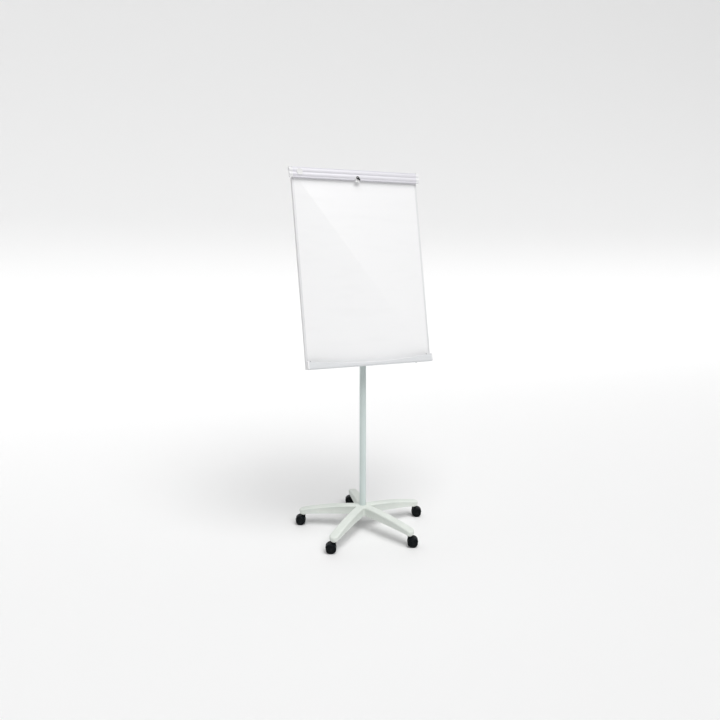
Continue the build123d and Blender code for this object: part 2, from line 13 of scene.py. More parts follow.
import bmesh
import bpy
import mathutils
import numpy as np
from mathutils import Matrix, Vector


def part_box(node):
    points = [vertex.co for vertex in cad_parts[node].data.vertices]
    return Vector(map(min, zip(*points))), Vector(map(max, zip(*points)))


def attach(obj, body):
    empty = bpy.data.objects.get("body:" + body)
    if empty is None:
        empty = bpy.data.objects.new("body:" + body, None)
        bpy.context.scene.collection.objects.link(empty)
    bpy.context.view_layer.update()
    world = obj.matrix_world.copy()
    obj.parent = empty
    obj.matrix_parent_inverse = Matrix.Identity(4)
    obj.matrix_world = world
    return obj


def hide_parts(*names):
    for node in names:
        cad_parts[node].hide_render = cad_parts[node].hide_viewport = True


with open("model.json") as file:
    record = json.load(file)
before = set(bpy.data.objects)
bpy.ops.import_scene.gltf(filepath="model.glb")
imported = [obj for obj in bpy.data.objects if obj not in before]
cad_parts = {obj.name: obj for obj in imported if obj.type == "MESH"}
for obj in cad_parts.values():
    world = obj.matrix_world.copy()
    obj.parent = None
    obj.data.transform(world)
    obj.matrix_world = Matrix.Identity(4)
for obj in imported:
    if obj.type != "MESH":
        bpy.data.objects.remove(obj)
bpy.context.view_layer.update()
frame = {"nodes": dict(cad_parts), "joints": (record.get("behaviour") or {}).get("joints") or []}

LOG = logging.getLogger("easel")
MM = 0.001
JOINTS = {joint["name"]: joint for joint in frame["joints"]}


class Side(Enum):
    """Left or right of the easel's middle, as the viewer sees it."""

    LEFT = -1
    RIGHT = 1


class Lay(Enum):
    """The direction in which drawn or rolled metal was worked."""

    ALONG_X = (1.0, 60.0, 60.0)
    ALONG_Z = (60.0, 60.0, 1.0)
    NONE = (1.0, 1.0, 1.0)


# ---- Places and profiles ------------------------------------------------------------------


@dataclass(frozen=True)
class Place:
    """A local frame: its origin in metres and its three unit axes in the row frame."""

    origin: np.ndarray
    x: np.ndarray
    y: np.ndarray
    z: np.ndarray

    def put(self, points: np.ndarray) -> np.ndarray:
        """Carry local points into the row frame: origin + x a + y b + z c.

        Args:
            points: local points in millimetres, with the coordinate last.

        Returns:
            The same points in metres in the row frame.
        """
        axes = np.stack([self.x, self.y, self.z])
        return self.origin + points @ axes * MM

    def shifted(self, x: float = 0.0, y: float = 0.0, z: float = 0.0) -> "Place":
        """The same axes about a point given in local millimetres."""
        return Place(self.put(np.array([x, y, z])), self.x, self.y, self.z)

    def axis_along(self, axis: str) -> "Place":
        """The same origin with the local Z axis along this frame's x or y axis, or along -y."""
        if axis == "x":
            return Place(self.origin, self.y, self.z, self.x)
        if axis == "y":
            return Place(self.origin, self.z, self.x, self.y)
        return Place(self.origin, self.x, self.z, -self.y)


def upright(x: float = 0.0, y: float = 0.0, z: float = 0.0, turn: float = 0.0) -> Place:
    """A frame with Z up at a point in metres, turned about Z by an angle in radians."""
    c, s = math.cos(turn), math.sin(turn)
    axes = np.array([[c, s, 0.0], [-s, c, 0.0], [0.0, 0.0, 1.0]])
    return Place(np.array([x, y, z]), *axes)


def rounded(
    corners: Sequence[tuple[float, float]], radii: float | Sequence[float], steps: int = 4
) -> np.ndarray:
    """Round the corners of a closed outline.

    Each corner becomes an arc about the point that lies on its bisector, radius / sin(half angle)
    away, and the arc's points turn evenly from one tangent point to the other.

    Args:
        corners: the outline's corners in order.
        radii: one radius for all corners, or one for each.
        steps: segments in each arc.

    Returns:
        The outline's points, shape (n, 2).
    """
    at = np.asarray(corners, float)
    radius = np.broadcast_to(np.asarray(radii, float), len(at))[:, None]
    to_last = np.roll(at, 1, axis=0) - at
    to_next = np.roll(at, -1, axis=0) - at
    to_last /= np.linalg.norm(to_last, axis=1, keepdims=True)
    to_next /= np.linalg.norm(to_next, axis=1, keepdims=True)
    half = np.arccos(np.clip((to_last * to_next).sum(1, keepdims=True), -0.9999, 0.9999)) / 2
    middle = to_last + to_next
    middle /= np.linalg.norm(middle, axis=1, keepdims=True)
    centre = at + middle * radius / np.sin(half)
    start = at + to_last * radius / np.tan(half) - centre
    end = at + to_next * radius / np.tan(half) - centre
    sweep = (math.pi - 2 * half)[:, :, None]
    t = np.linspace(0, 1, steps + 1)[None, :, None]
    arc = (np.sin((1 - t) * sweep) * start[:, None] + np.sin(t * sweep) * end[:, None]) / np.sin(sweep)
    return (centre[:, None] + arc).reshape(-1, 2)


def box_outline(low_a: float, high_a: float, low_b: float, high_b: float, radius: float = 0.5) -> np.ndarray:
    """A rectangle with rounded corners."""
    corners = [(low_a, low_b), (high_a, low_b), (high_a, high_b), (low_a, high_b)]
    return rounded(corners, radius)


def inset(outline: np.ndarray, amount: np.ndarray) -> np.ndarray:
    """Move a closed outline's points inwards along their normals.

    The normal at a point is the chord between its neighbours turned a quarter, and it points
    inwards for an outline that runs anticlockwise.

    Args:
        outline: points, shape (n, 2).
        amount: distances in, one for each copy wanted.

    Returns:
        The copies, shape (len(amount), n, 2).
    """
    spread = np.roll(outline, -2, axis=0) - np.roll(outline, 2, axis=0)
    area = np.sum(outline[:, 0] * np.roll(outline[:, 1], -1) - outline[:, 1] * np.roll(outline[:, 0], -1))
    normal = np.stack([-spread[:, 1], spread[:, 0]], axis=1) * np.sign(area)
    normal /= np.maximum(np.linalg.norm(normal, axis=1, keepdims=True), 1e-9)
    return outline[None] + normal[None] * np.asarray(amount, float)[:, None, None]


# ---- Meshes -------------------------------------------------------------------------------


@dataclass
class Shells:
    """Closed shells gathered into one piece."""

    points: list[np.ndarray] = field(default_factory=list)
    faces: list[list[int]] = field(default_factory=list)
    count: int = 0

    def grid(self, grid: np.ndarray, around_first: bool = False, caps: bool = True) -> "Shells":
        """Add a grid of points that closes along its second axis.

        Args:
            grid: points in metres, shape (rings, around, 3).
            around_first: whether the last ring joins the first.
            caps: whether an open grid's end rings are closed by a face.

        Returns:
            This object.
        """
        rings, around = grid.shape[:2]
        index = np.arange(rings * around).reshape(rings, around) + self.count
        low = index if around_first else index[:-1]
        high = np.roll(index, -1, axis=0) if around_first else index[1:]
        quads = np.stack([low, np.roll(low, -1, 1), np.roll(high, -1, 1), high], axis=-1)
        self.faces += quads.reshape(-1, 4).tolist()
        if caps and not around_first:
            self.faces += [index[0, ::-1].tolist(), index[-1].tolist()]
        self.points.append(grid.reshape(-1, 3))
        self.count += rings * around
        return self

    def bar(self, place: Place, outline: np.ndarray, low: float, high: float, edge: float = 0.5) -> "Shells":
        """Add an outline carried along the local Z axis, with round-edged flat ends.

        Near an end the outline is drawn in by edge (1 - sin a) while it travels edge (1 - cos a),
        for a from 0 to a right angle.

        Args:
            place: the local frame.
            outline: the section in local X and Y.
            low: start along Z.
            high: end along Z.
            edge: radius of the end edges.

        Returns:
            This object.
        """
        a = np.linspace(0, math.pi / 2, 4)
        run = edge * (1 - np.cos(a))
        draw = edge * (1 - np.sin(a))
        z = np.concatenate([low + run, high - run[::-1]])
        rings = inset(outline, np.concatenate([draw, draw[::-1]]))
        level = np.broadcast_to(z[:, None, None], rings.shape[:2] + (1,))
        return self.grid(place.put(np.concatenate([rings, level], axis=2)))

    def turned(
        self,
        place: Place,
        outline: np.ndarray,
        segments: int = 48,
        waist: Callable[[np.ndarray, np.ndarray], np.ndarray] | None = None,
    ) -> "Shells":
        """Add an outline of (radius, height) turned about the local Z axis.

        A point sits at (radius cos a, radius sin a, height), and waist may scale the radius.

        Args:
            place: the local frame.
            outline: closed outline; where it touches radius 0 it closes on a pole.
            segments: steps round the axis.
            waist: factor on the radius as a function of the angle and the radius.

        Returns:
            This object.
        """
        angle = np.linspace(0, 2 * math.pi, segments, endpoint=False)[:, None]
        radius = np.maximum(outline[None, :, 0], 0.0) * np.ones_like(angle)
        if waist is not None:
            radius = radius * waist(angle, radius)
        height = np.broadcast_to(outline[None, :, 1], radius.shape)
        grid = np.stack([radius * np.cos(angle), radius * np.sin(angle), height], axis=-1)
        return self.grid(place.put(grid), around_first=True)

    def piece(self, name: str, material: bpy.types.Material, smooth: float = 38.0) -> bpy.types.Object:
        """Write the shells as one mesh object at the origin.

        Args:
            name: the piece's name.
            material: its material.
            smooth: edges that turn by more than this many degrees stay sharp.

        Returns:
            The new object.
        """
        mesh = bpy.data.meshes.new(name)
        mesh.from_pydata(np.concatenate(self.points), [], self.faces)
        shape = bmesh.new()
        shape.from_mesh(mesh)
        bmesh.ops.remove_doubles(shape, verts=shape.verts, dist=2e-6)
        bmesh.ops.dissolve_degenerate(shape, dist=1e-6, edges=shape.edges)
        loose = [edge for edge in shape.edges if not edge.link_faces]
        bmesh.ops.delete(shape, geom=loose, context="EDGES")
        bmesh.ops.recalc_face_normals(shape, faces=shape.faces)
        shape.to_mesh(mesh)
        shape.free()
        mesh.shade_smooth()
        mesh.set_sharp_from_angle(angle=math.radians(smooth))
        mesh.materials.append(material)
        made = bpy.data.objects.new(name, mesh)
        bpy.context.scene.collection.objects.link(made)
        return made


def fit(made: bpy.types.Object, body: str, slot: str, *nodes: str) -> bpy.types.Object:
    """Let a finished piece ride on its body and stand for its CAD nodes.

    Args:
        made: the piece.
        body: the body it rides on.
        slot: the record's material slot; not used.
        nodes: the CAD nodes that it replaces.

    Returns:
        The piece.
    """
    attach(made, body)
    if nodes:
        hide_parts(*nodes)
    LOG.info("%s rides on %s, %d faces", made.name, body, len(made.data.polygons))
    return made


def dress(material: bpy.types.Material, *nodes: str) -> None:
    """Give CAD nodes that stay in view their finish."""
    for node in nodes:
        data = frame["nodes"][node].data
        data.materials.clear()
        data.materials.append(material)
        LOG.info("%s keeps its CAD mesh, finished in %s", node, material.name)


# ---- Shader building ----------------------------------------------------------------------


class Graph:
    """Short calls for building a node tree."""

    def __init__(self, tree: bpy.types.NodeTree) -> None:
        """Start on an empty tree."""
        self.tree = tree
        tree.nodes.clear()

    def node(self, kind: str, inputs: dict[str, object] | None = None, **options: object) -> bpy.types.Node:
        """Add a node.

        Args:
            kind: the node's type.
            inputs: socket name to a value or to a socket that feeds it.
            options: the node's own settings.

        Returns:
            The node.
        """
        made = self.tree.nodes.new(kind)
        for name, value in options.items():
            setattr(made, name, value)
        for name, value in (inputs or {}).items():
            socket = made.inputs[int(name)] if name.isdigit() else made.inputs[name]
            if isinstance(value, bpy.types.NodeSocket):
                self.tree.links.new(value, socket)
            else:
                socket.default_value = value
        return made

    def mix(self, factor: object, low: object, high: object) -> bpy.types.NodeSocket:
        """Blend two colours by a factor."""
        made = self.node("ShaderNodeMix", data_type="RGBA")
        for socket, value in ((made.inputs[0], factor), (made.inputs[6], low), (made.inputs[7], high)):
            if isinstance(value, bpy.types.NodeSocket):
                self.tree.links.new(value, socket)
            else:
                socket.default_value = value
        return made.outputs[2]

    def spread(
        self, value: object, low: float, high: float, to_low: float, to_high: float
    ) -> bpy.types.NodeSocket:
        """Map a value from one range to another, clamped."""
        ends = {"From Min": low, "From Max": high, "To Min": to_low, "To Max": to_high}
        return self.node("ShaderNodeMapRange", {"Value": value, **ends}).outputs[0]

    def noise(self, vector: object, scale: object, detail: float = 3.0) -> bpy.types.NodeSocket:
        """Fractal noise at a scale per metre."""
        inputs = {"Vector": vector, "Scale": scale, "Detail": detail}
        return self.node("ShaderNodeTexNoise", inputs).outputs["Fac"]

    def calc(self, operation: str, *values: object, clamp: bool = False) -> bpy.types.NodeSocket:
        """Result of one sum on the given numbers or sockets."""
        inputs = {str(place): value for place, value in enumerate(values)}
        return self.node("ShaderNodeMath", inputs, operation=operation, use_clamp=clamp).outputs[0]

    def bump(self, height: bpy.types.NodeSocket, distance: float, strength: float) -> bpy.types.NodeSocket:
        """Normal bent by a height that stands for a distance in metres."""
        inputs = {"Height": height, "Distance": distance, "Strength": strength}
        return self.node("ShaderNodeBump", inputs).outputs[0]


def group(
    name: str, inputs: dict[str, float | tuple], outputs: Sequence[str]
) -> tuple[bpy.types.NodeTree, Graph]:
    """Start a shader node group.

    Args:
        name: the group's name.
        inputs: input name to its default, a number or a vector.
        outputs: names of the number outputs.

    Returns:
        The tree and a Graph on it.
    """
    tree = bpy.data.node_groups.new(name, "ShaderNodeTree")
    for label, value in inputs.items():
        kind = "NodeSocketVector" if isinstance(value, tuple) else "NodeSocketFloat"
        tree.interface.new_socket(label, in_out="INPUT", socket_type=kind).default_value = value
    for label in outputs:
        tree.interface.new_socket(label, in_out="OUTPUT", socket_type="NodeSocketFloat")
    return tree, Graph(tree)


def grain_group() -> bpy.types.NodeTree:
    """Moulded or sprayed relief: a fine grain, and a broad mottle for colour and gloss."""
    tree, graph = group("Surface grain", {"Grain Scale": 900.0, "Mottle Scale": 9.0}, ["Grain", "Mottle"])
    given = graph.node("NodeGroupInput")
    where = graph.node("ShaderNodeTexCoord").outputs["Object"]
    grain = graph.noise(where, given.outputs["Grain Scale"], 2.0)
    mottle = graph.noise(where, given.outputs["Mottle Scale"], 5.0)
    graph.node("NodeGroupOutput", {"Grain": grain, "Mottle": mottle})
    return tree


def draw_group() -> bpy.types.NodeTree:
    """Drawn or brushed metal: noise stretched along the direction of working."""
    tree, graph = group("Drawn metal", {"Stretch": (1.0, 60.0, 60.0), "Scale": 22.0}, ["Streak", "Relief"])
    given = graph.node("NodeGroupInput")
    where = graph.node("ShaderNodeTexCoord").outputs["Object"]
    ends = {"0": where, "1": given.outputs["Stretch"]}
    along = graph.node("ShaderNodeVectorMath", ends, operation="MULTIPLY").outputs[0]
    streak = graph.noise(along, given.outputs["Scale"], 4.0)
    relief = graph.noise(along, graph.calc("MULTIPLY", given.outputs["Scale"], 3.0), 2.0)
    graph.node("NodeGroupOutput", {"Streak": streak, "Relief": relief})
    return tree


def dust_group() -> bpy.types.NodeTree:
    """Dust that gathers towards the floor, broken up by noise.

    Dust = amount (1 - height / top) times a soft threshold of the noise.
    """
    tree, graph = group("Floor dust", {"Top": 0.12, "Amount": 0.5}, ["Dust"])
    given = graph.node("NodeGroupInput")
    where = graph.node("ShaderNodeTexCoord").outputs["Object"]
    height = graph.node("ShaderNodeSeparateXYZ", {"Vector": where}).outputs["Z"]
    near = graph.calc("SUBTRACT", 1.0, graph.calc("DIVIDE", height, given.outputs["Top"]), clamp=True)
    broken = graph.spread(graph.noise(where, 60.0, 6.0), 0.42, 0.68, 0.0, 1.0)
    dust = graph.calc("MULTIPLY", graph.calc("MULTIPLY", near, broken), given.outputs["Amount"])
    graph.node("NodeGroupOutput", {"Dust": dust})
    return tree


def scuff_group() -> bpy.types.NodeTree:
    """Sparse fine marks from handling: thin bands of a warped noise, kept where a broad noise is high."""
    tree, graph = group("Handling marks", {"Scale": 14.0, "Reach": 0.6}, ["Mark"])
    given = graph.node("NodeGroupInput")
    where = graph.node("ShaderNodeTexCoord").outputs["Object"]
    lines = graph.noise(where, given.outputs["Scale"], 8.0)
    band = graph.calc("COMPARE", lines, 0.5, 0.012)
    broad = graph.spread(graph.noise(where, 3.1, 2.0), given.outputs["Reach"], 0.8, 0.0, 1.0)
    graph.node("NodeGroupOutput", {"Mark": graph.calc("MULTIPLY", band, broad)})
    return tree


GROUPS = {"grain": grain_group(), "draw": draw_group(), "dust": dust_group(), "scuff": scuff_group()}
DUST = (0.55, 0.53, 0.5)


def use_group(graph: Graph, name: str, **values: object) -> bpy.types.Node:
    """Place a shared group with its own values."""
    made = graph.node("ShaderNodeGroup", node_tree=GROUPS[name])
    for label, value in values.items():
        made.inputs[label.replace("_", " ")].default_value = value
    return made


def scaled(colour: Sequence[float], factor: float) -> tuple[float, float, float, float]:
    """A colour made lighter or darker, with full alpha."""
    return tuple(min(1.0, channel * factor) for channel in colour[:3]) + (1.0,)


@dataclass(frozen=True)
class Moulded:
    """Injection-moulded plastic with a spark-eroded grain, faint flow mottle, dust and scuffs."""

    name: str
    colour: tuple[float, float, float]
    roughness: float = 0.42
    grain: float = 0.00004
    grain_scale: float = 900.0
    dust: float = 0.25
    coat: float = 0.0
    sheen: float = 0.5

    def material(self) -> bpy.types.Material:
        """Build the material."""
        made, graph, shader = start_material(self.name)
        relief = use_group(graph, "grain", Grain_Scale=self.grain_scale, Mottle_Scale=7.0)
        marks = use_group(graph, "scuff", Scale=11.0, Reach=0.52)
        dust = use_group(graph, "dust", Top=0.14, Amount=self.dust)
        tone = graph.spread(relief.outputs["Mottle"], 0.3, 0.7, 0.0, 1.0)
        colour = graph.mix(tone, scaled(self.colour, 0.94), scaled(self.colour, 1.04))
        lighter = tuple(0.85 * c + 0.05 for c in self.colour) + (1.0,)
        worn = graph.mix(graph.spread(marks.outputs[0], 0, 1, 0, 0.35), colour, lighter)
        dusted = graph.mix(dust.outputs[0], worn, scaled(DUST, 1.0))
        feed(graph, dusted, shader, "Base Color")
        gloss = graph.spread(relief.outputs["Mottle"], 0.3, 0.7, self.roughness - 0.05, self.roughness + 0.07)
        feed(graph, gloss, shader, "Roughness")
        feed(graph, graph.bump(relief.outputs["Grain"], self.grain, 0.7), shader, "Normal")
        shader.inputs["Coat Weight"].default_value = self.coat
        shader.inputs["Specular IOR Level"].default_value = self.sheen
        return made


@dataclass(frozen=True)
class Painted:
    """Powder coat on metal: orange-peel relief with an even colour and a few rubbed marks."""

    name: str
    colour: tuple[float, float, float]
    roughness: float = 0.38
    peel: float = 0.00006
    dust: float = 0.0

    def material(self) -> bpy.types.Material:
        """Build the material."""
        made, graph, shader = start_material(self.name)
        relief = use_group(graph, "grain", Grain_Scale=420.0, Mottle_Scale=4.0)
        marks = use_group(graph, "scuff", Scale=9.0, Reach=0.56)
        tone = graph.spread(relief.outputs["Mottle"], 0.3, 0.7, 0.0, 1.0)
        colour = graph.mix(tone, scaled(self.colour, 0.96), scaled(self.colour, 1.03))
        worn = graph.mix(graph.spread(marks.outputs[0], 0, 1, 0, 0.3), colour, scaled(self.colour, 0.8))
        dust = use_group(graph, "dust", Top=0.3, Amount=self.dust)
        feed(graph, graph.mix(dust.outputs[0], worn, scaled(DUST, 1.0)), shader, "Base Color")
        gloss = graph.spread(relief.outputs["Mottle"], 0.3, 0.7, self.roughness - 0.04, self.roughness + 0.06)
        feed(graph, gloss, shader, "Roughness")
        feed(graph, graph.bump(relief.outputs["Grain"], self.peel, 0.5), shader, "Normal")
        return made


@dataclass(frozen=True)
class Enamel:
    """Glossy white enamel with a faint waviness and the haze of wiped marker."""

    name: str
    colour: tuple[float, float, float]
    roughness: float = 0.45
    wave: float = 0.00002

    def material(self) -> bpy.types.Material:
        """Build the material."""
        made, graph, shader = start_material(self.name)
        relief = use_group(graph, "grain", Grain_Scale=260.0, Mottle_Scale=2.2)
        wiped = use_group(graph, "draw", Stretch=(1.0, 1.0, 5.0), Scale=6.0)
        haze = graph.spread(wiped.outputs["Streak"], 0.5, 0.75, 0.0, 1.0)
        colour = graph.mix(haze, scaled(self.colour, 1.0), scaled(self.colour, 0.985))
        feed(graph, colour, shader, "Base Color")
        feed(graph, graph.spread(haze, 0, 1, self.roughness, self.roughness + 0.04), shader, "Roughness")
        feed(graph, graph.bump(relief.outputs["Grain"], self.wave, 0.4), shader, "Normal")
        shader.inputs["Specular IOR Level"].default_value = 0.35
        return made


@dataclass(frozen=True)
class Metal:
    """Bare, plated or anodised metal with the streaks of drawing or rolling."""

    name: str
    colour: tuple[float, float, float]
    roughness: float = 0.34
    lay: Lay = Lay.ALONG_X
    metallic: float = 1.0
    depth: float = 0.00003

    def material(self) -> bpy.types.Material:
        """Build the material."""
        made, graph, shader = start_material(self.name)
        drawn = use_group(graph, "draw", Stretch=self.lay.value, Scale=18.0)
        relief = use_group(graph, "grain", Grain_Scale=700.0, Mottle_Scale=5.0)
        streak = graph.spread(drawn.outputs["Streak"], 0.3, 0.7, 0.0, 1.0)
        colour = graph.mix(streak, scaled(self.colour, 0.93), scaled(self.colour, 1.05))
        feed(graph, colour, shader, "Base Color")
        cloud = graph.spread(relief.outputs["Mottle"], 0.3, 0.7, self.roughness - 0.05, self.roughness + 0.08)
        feed(graph, cloud, shader, "Roughness")
        feed(graph, graph.bump(drawn.outputs["Relief"], self.depth, 0.5), shader, "Normal")
        shader.inputs["Metallic"].default_value = self.metallic
        return made


@dataclass(frozen=True)
class Spangle:
    """Galvanised sheet: flat crystals of slightly different grey."""

    name: str
    colour: tuple[float, float, float]
    roughness: float = 0.4
    relief: float = 0.00003

    def material(self) -> bpy.types.Material:
        """Build the material."""
        made, graph, shader = start_material(self.name)
        where = graph.node("ShaderNodeTexCoord").outputs["Object"]
        cells = graph.node("ShaderNodeTexVoronoi", {"Vector": where, "Scale": 110.0})
        relief = use_group(graph, "grain", Grain_Scale=500.0, Mottle_Scale=3.0)
        shade = graph.node("ShaderNodeSeparateXYZ", {"Vector": cells.outputs["Color"]}).outputs[0]
        colour = graph.mix(shade, scaled(self.colour, 0.86), scaled(self.colour, 1.08))
        feed(graph, colour, shader, "Base Color")
        gloss = graph.spread(shade, 0, 1, self.roughness - 0.08, self.roughness + 0.1)
        feed(graph, gloss, shader, "Roughness")
        feed(graph, graph.bump(relief.outputs["Grain"], self.relief, 0.4), shader, "Normal")
        shader.inputs["Metallic"].default_value = 0.75
        return made


def start_material(name: str) -> tuple[bpy.types.Material, Graph, bpy.types.Node]:
    """A new material with a Principled shader wired to its output."""
    made = bpy.data.materials.new(name)
    made.use_nodes = True
    graph = Graph(made.node_tree)
    shader = graph.node("ShaderNodeBsdfPrincipled")
    graph.node("ShaderNodeOutputMaterial", {"Surface": shader.outputs[0]})
    return made, graph, shader


def feed(graph: Graph, socket: bpy.types.NodeSocket, shader: bpy.types.Node, name: str) -> None:
    """Wire a socket into the shader."""
    graph.tree.links.new(socket, shader.inputs[name])


ENAMEL = Enamel("White enamel", (0.93, 0.93, 0.935)).material()
BASE_PLASTIC = Moulded("Base plastic", (0.71, 0.75, 0.705), roughness=0.5).material()
POST_PAINT = Painted("Post powder coat", (0.62, 0.70, 0.685), dust=0.03).material()
MAST_STEEL = Metal("Mast steel", (0.78, 0.79, 0.8), roughness=0.2, lay=Lay.ALONG_Z).material()
STEEL = Metal("Zinc plated steel", (0.6, 0.61, 0.62), roughness=0.32, lay=Lay.NONE).material()
BLACK_PLASTIC = Moulded("Black plastic", (0.022, 0.022, 0.025), roughness=0.4, dust=0.1).material()
KNOB_PLASTIC = Moulded(
    "Knob plastic", (0.028, 0.028, 0.031), roughness=0.5, grain=0.00008, grain_scale=1400.0
).material()
CASTOR_PLASTIC = Moulded(
    "Castor nylon", (0.002, 0.004, 0.006), roughness=0.5, dust=0.005, sheen=0.12
).material()
WHEEL_PLASTIC = Moulded(
    "Wheel nylon", (0.003, 0.005, 0.006), roughness=0.5, dust=0.015, sheen=0.12
).material()
SHEET = Spangle("Galvanised sheet", (0.62, 0.63, 0.64)).material()
TRIM_PAINT = Painted("Trim powder coat", (0.78, 0.78, 0.79), roughness=0.34).material()
BRACKET_PAINT = Painted("Bracket powder coat", (0.42, 0.46, 0.46), roughness=0.42).material()
RAIL_METAL = Metal("Rail anodised", (0.79, 0.78, 0.825), roughness=0.55, metallic=0.1).material()
TRAY_METAL = Metal("Tray anodised", (0.76, 0.775, 0.79), roughness=0.5, metallic=0.1).material()
CAP_PLASTIC = Moulded("Cap plastic", (0.88, 0.88, 0.89), roughness=0.38, dust=0.0).material()
BADGE_PLASTIC = Moulded("White plastic", (0.88, 0.88, 0.88), roughness=0.25, dust=0.0, coat=0.3).material()
CARD = Moulded("Card core", (0.55, 0.45, 0.32), roughness=0.8, dust=0.0).material()


# ---- Star base ----------------------------------------------------------------------------


@dataclass(frozen=True)
class StarBase:
    """Five-arm moulded base: one continuous skin, ribs below it, and a socket under each arm end."""

    first_arm: float
    reach: float
    arms: int = 5
    half_width: float = 24.5
    draft: float = 1.0
    skin: float = 3.5
    crotch: float = 7.0
    foot: float = 60.0
    crown: float = 134.0
    crown_fall: float = 37.8
    rim: float = 69.0
    edge: float = 8.0
    set_back: float = 1.2

    def top(self, radius: np.ndarray) -> np.ndarray:
        """Height of the arms' back: crown - fall (radius / reach) ^ 2."""
        return self.crown - self.crown_fall * (radius / self.reach) ** 2

    def keel(self, radius: np.ndarray) -> np.ndarray:
        """Height of the arms' lower edge: rim + 16 (1 - (radius / reach) ^ 2), never below the rim."""
        return self.rim + 16.0 * np.clip(1 - (radius / self.reach) ** 2, 0, 1)

    def outline(self, inward: np.ndarray | float) -> tuple[np.ndarray, np.ndarray]:
        """Plan of the star moved inwards, with the point of its skeleton beside each point.

        Half an arm is an arc round the crotch, a straight side and a quarter of the round end. The
        crotch arc's centre lies (half width + crotch) / sin(half the angle between arms) out.

        Args:
            inward: distance in, one number or one for each point of the outline.

        Returns:
            The outline and the skeleton points, each of shape (n, 2), once round the star.
        """
        half_angle = math.pi / self.arms
        away = self.half_width + self.crotch
        centre_x = away / math.tan(half_angle)
        arc = np.linspace(math.pi + half_angle, 1.5 * math.pi, 7)
        side = np.linspace(0, 1, 26)[1:-1]
        end = np.linspace(math.pi / 2, 0, 10)
        count = 2 * (len(arc) + len(side) + len(end)) - 1
        shift = np.broadcast_to(np.asarray(inward, float), count * self.arms).reshape(self.arms, count)
        kind = np.concatenate([np.zeros(len(arc)), np.ones(len(side)), np.full(len(end), 2)])
        turn = np.concatenate([arc, np.zeros(len(side)), end])
        along = np.concatenate([np.zeros(len(arc)), side, np.ones(len(end))])
        sign = np.concatenate([-np.ones(len(kind)), np.ones(len(kind) - 1)])
        order = np.concatenate([np.arange(len(kind)), np.arange(len(kind) - 1)[::-1]])
        kind, turn, along = kind[order], turn[order], along[order]
        width = self.half_width - shift
        at_crotch = kind == 0
        at_end = kind == 2
        straight = centre_x + (self.reach - centre_x) * along
        x = np.where(at_crotch, centre_x + (self.crotch + shift) * np.cos(turn), straight)
        x = np.where(at_end, self.reach + width * np.cos(turn), x)
        y = np.where(at_crotch, away + (self.crotch + shift) * np.sin(turn), width)
        y = np.where(at_end, width * np.sin(turn), y) * sign
        share = np.clip((turn - math.pi - half_angle) / (math.pi / 2 - half_angle), 0, 1)
        spine = np.where(at_crotch, centre_x * share, np.where(at_end, self.reach, straight))
        spine = np.broadcast_to(spine, x.shape)
        angle = np.radians(self.first_arm) + 2 * math.pi / self.arms * np.arange(self.arms)[:, None]
        rim = np.stack([x * np.cos(angle) - y * np.sin(angle), x * np.sin(angle) + y * np.cos(angle)], -1)
        middle = np.stack([spine * np.cos(angle), spine * np.sin(angle)], -1)
        return rim.reshape(-1, 2), middle.reshape(-1, 2)

    def ring(
        self, inward: float, height: Callable[[np.ndarray], np.ndarray], closing: float = 0.0
    ) -> np.ndarray:
        """One closed line of the skin.

        The wall's draft moves a point in by (height - foot) tan(draft). Closing draws the line
        towards the arms' skeleton, on which it vanishes at 1.

        Args:
            inward: distance in from the drafted wall.
            height: height as a function of the distance from the post's axis.
            closing: share of the way to the skeleton.

        Returns:
            Points of shape (n, 3), in millimetres.
        """
        plain = self.outline(0.0)[0]
        level = height(np.linalg.norm(plain, axis=1))
        shift = inward + (level - self.foot) * math.tan(math.radians(self.draft))
        rim, middle = self.outline(shift)
        flat = rim + (middle - rim) * closing
        level = height(np.linalg.norm(flat, axis=1))
        return np.concatenate([flat, level[:, None]], axis=1)

    def skin_grid(self) -> np.ndarray:
        """All lines of the skin, from the middle of its underside round the wall to its back's middle."""
        bend = np.linspace(0, math.pi / 2, 8)
        back = self.set_back
        under = [
            self.ring(self.skin + 6, lambda r: self.top(r) - self.skin - 0.5, 1.0),
            self.ring(self.skin + 6, lambda r: self.top(r) - self.skin - 0.5, 0.5),
            self.ring(self.skin + 6, lambda r: self.top(r) - self.skin - 0.5),
            self.ring(self.skin + 1.5, lambda r: self.top(r) - self.skin - 3),
            self.ring(self.skin, lambda r: self.top(r) - self.skin - 8),
        ]
        wall = [
            self.ring(self.skin, lambda r: self.keel(r) + 0.4),
            self.ring(self.skin - 0.5, self.keel),
            self.ring(back + 0.6, self.keel),
            self.ring(back, lambda r: self.keel(r) + 0.7),
            self.ring(back, lambda r: self.top(r) - self.edge - 3.4),
            self.ring(back - 0.15, lambda r: self.top(r) - self.edge - 2.9),
            self.ring(0.3, lambda r: self.top(r) - self.edge - 2.4),
            self.ring(0.0, lambda r: self.top(r) - self.edge - 1.8),
        ]
        round_over = [
            self.ring(self.edge - run, lambda r, drop=drop: self.top(r) - drop)
            for run, drop in zip(self.edge * np.cos(bend), self.edge * (1 - np.sin(bend)))
        ]
        over = [self.ring(self.edge, self.top, closing) for closing in (0.35, 0.7, 1.0)]
        return np.stack(under + wall + round_over + over)

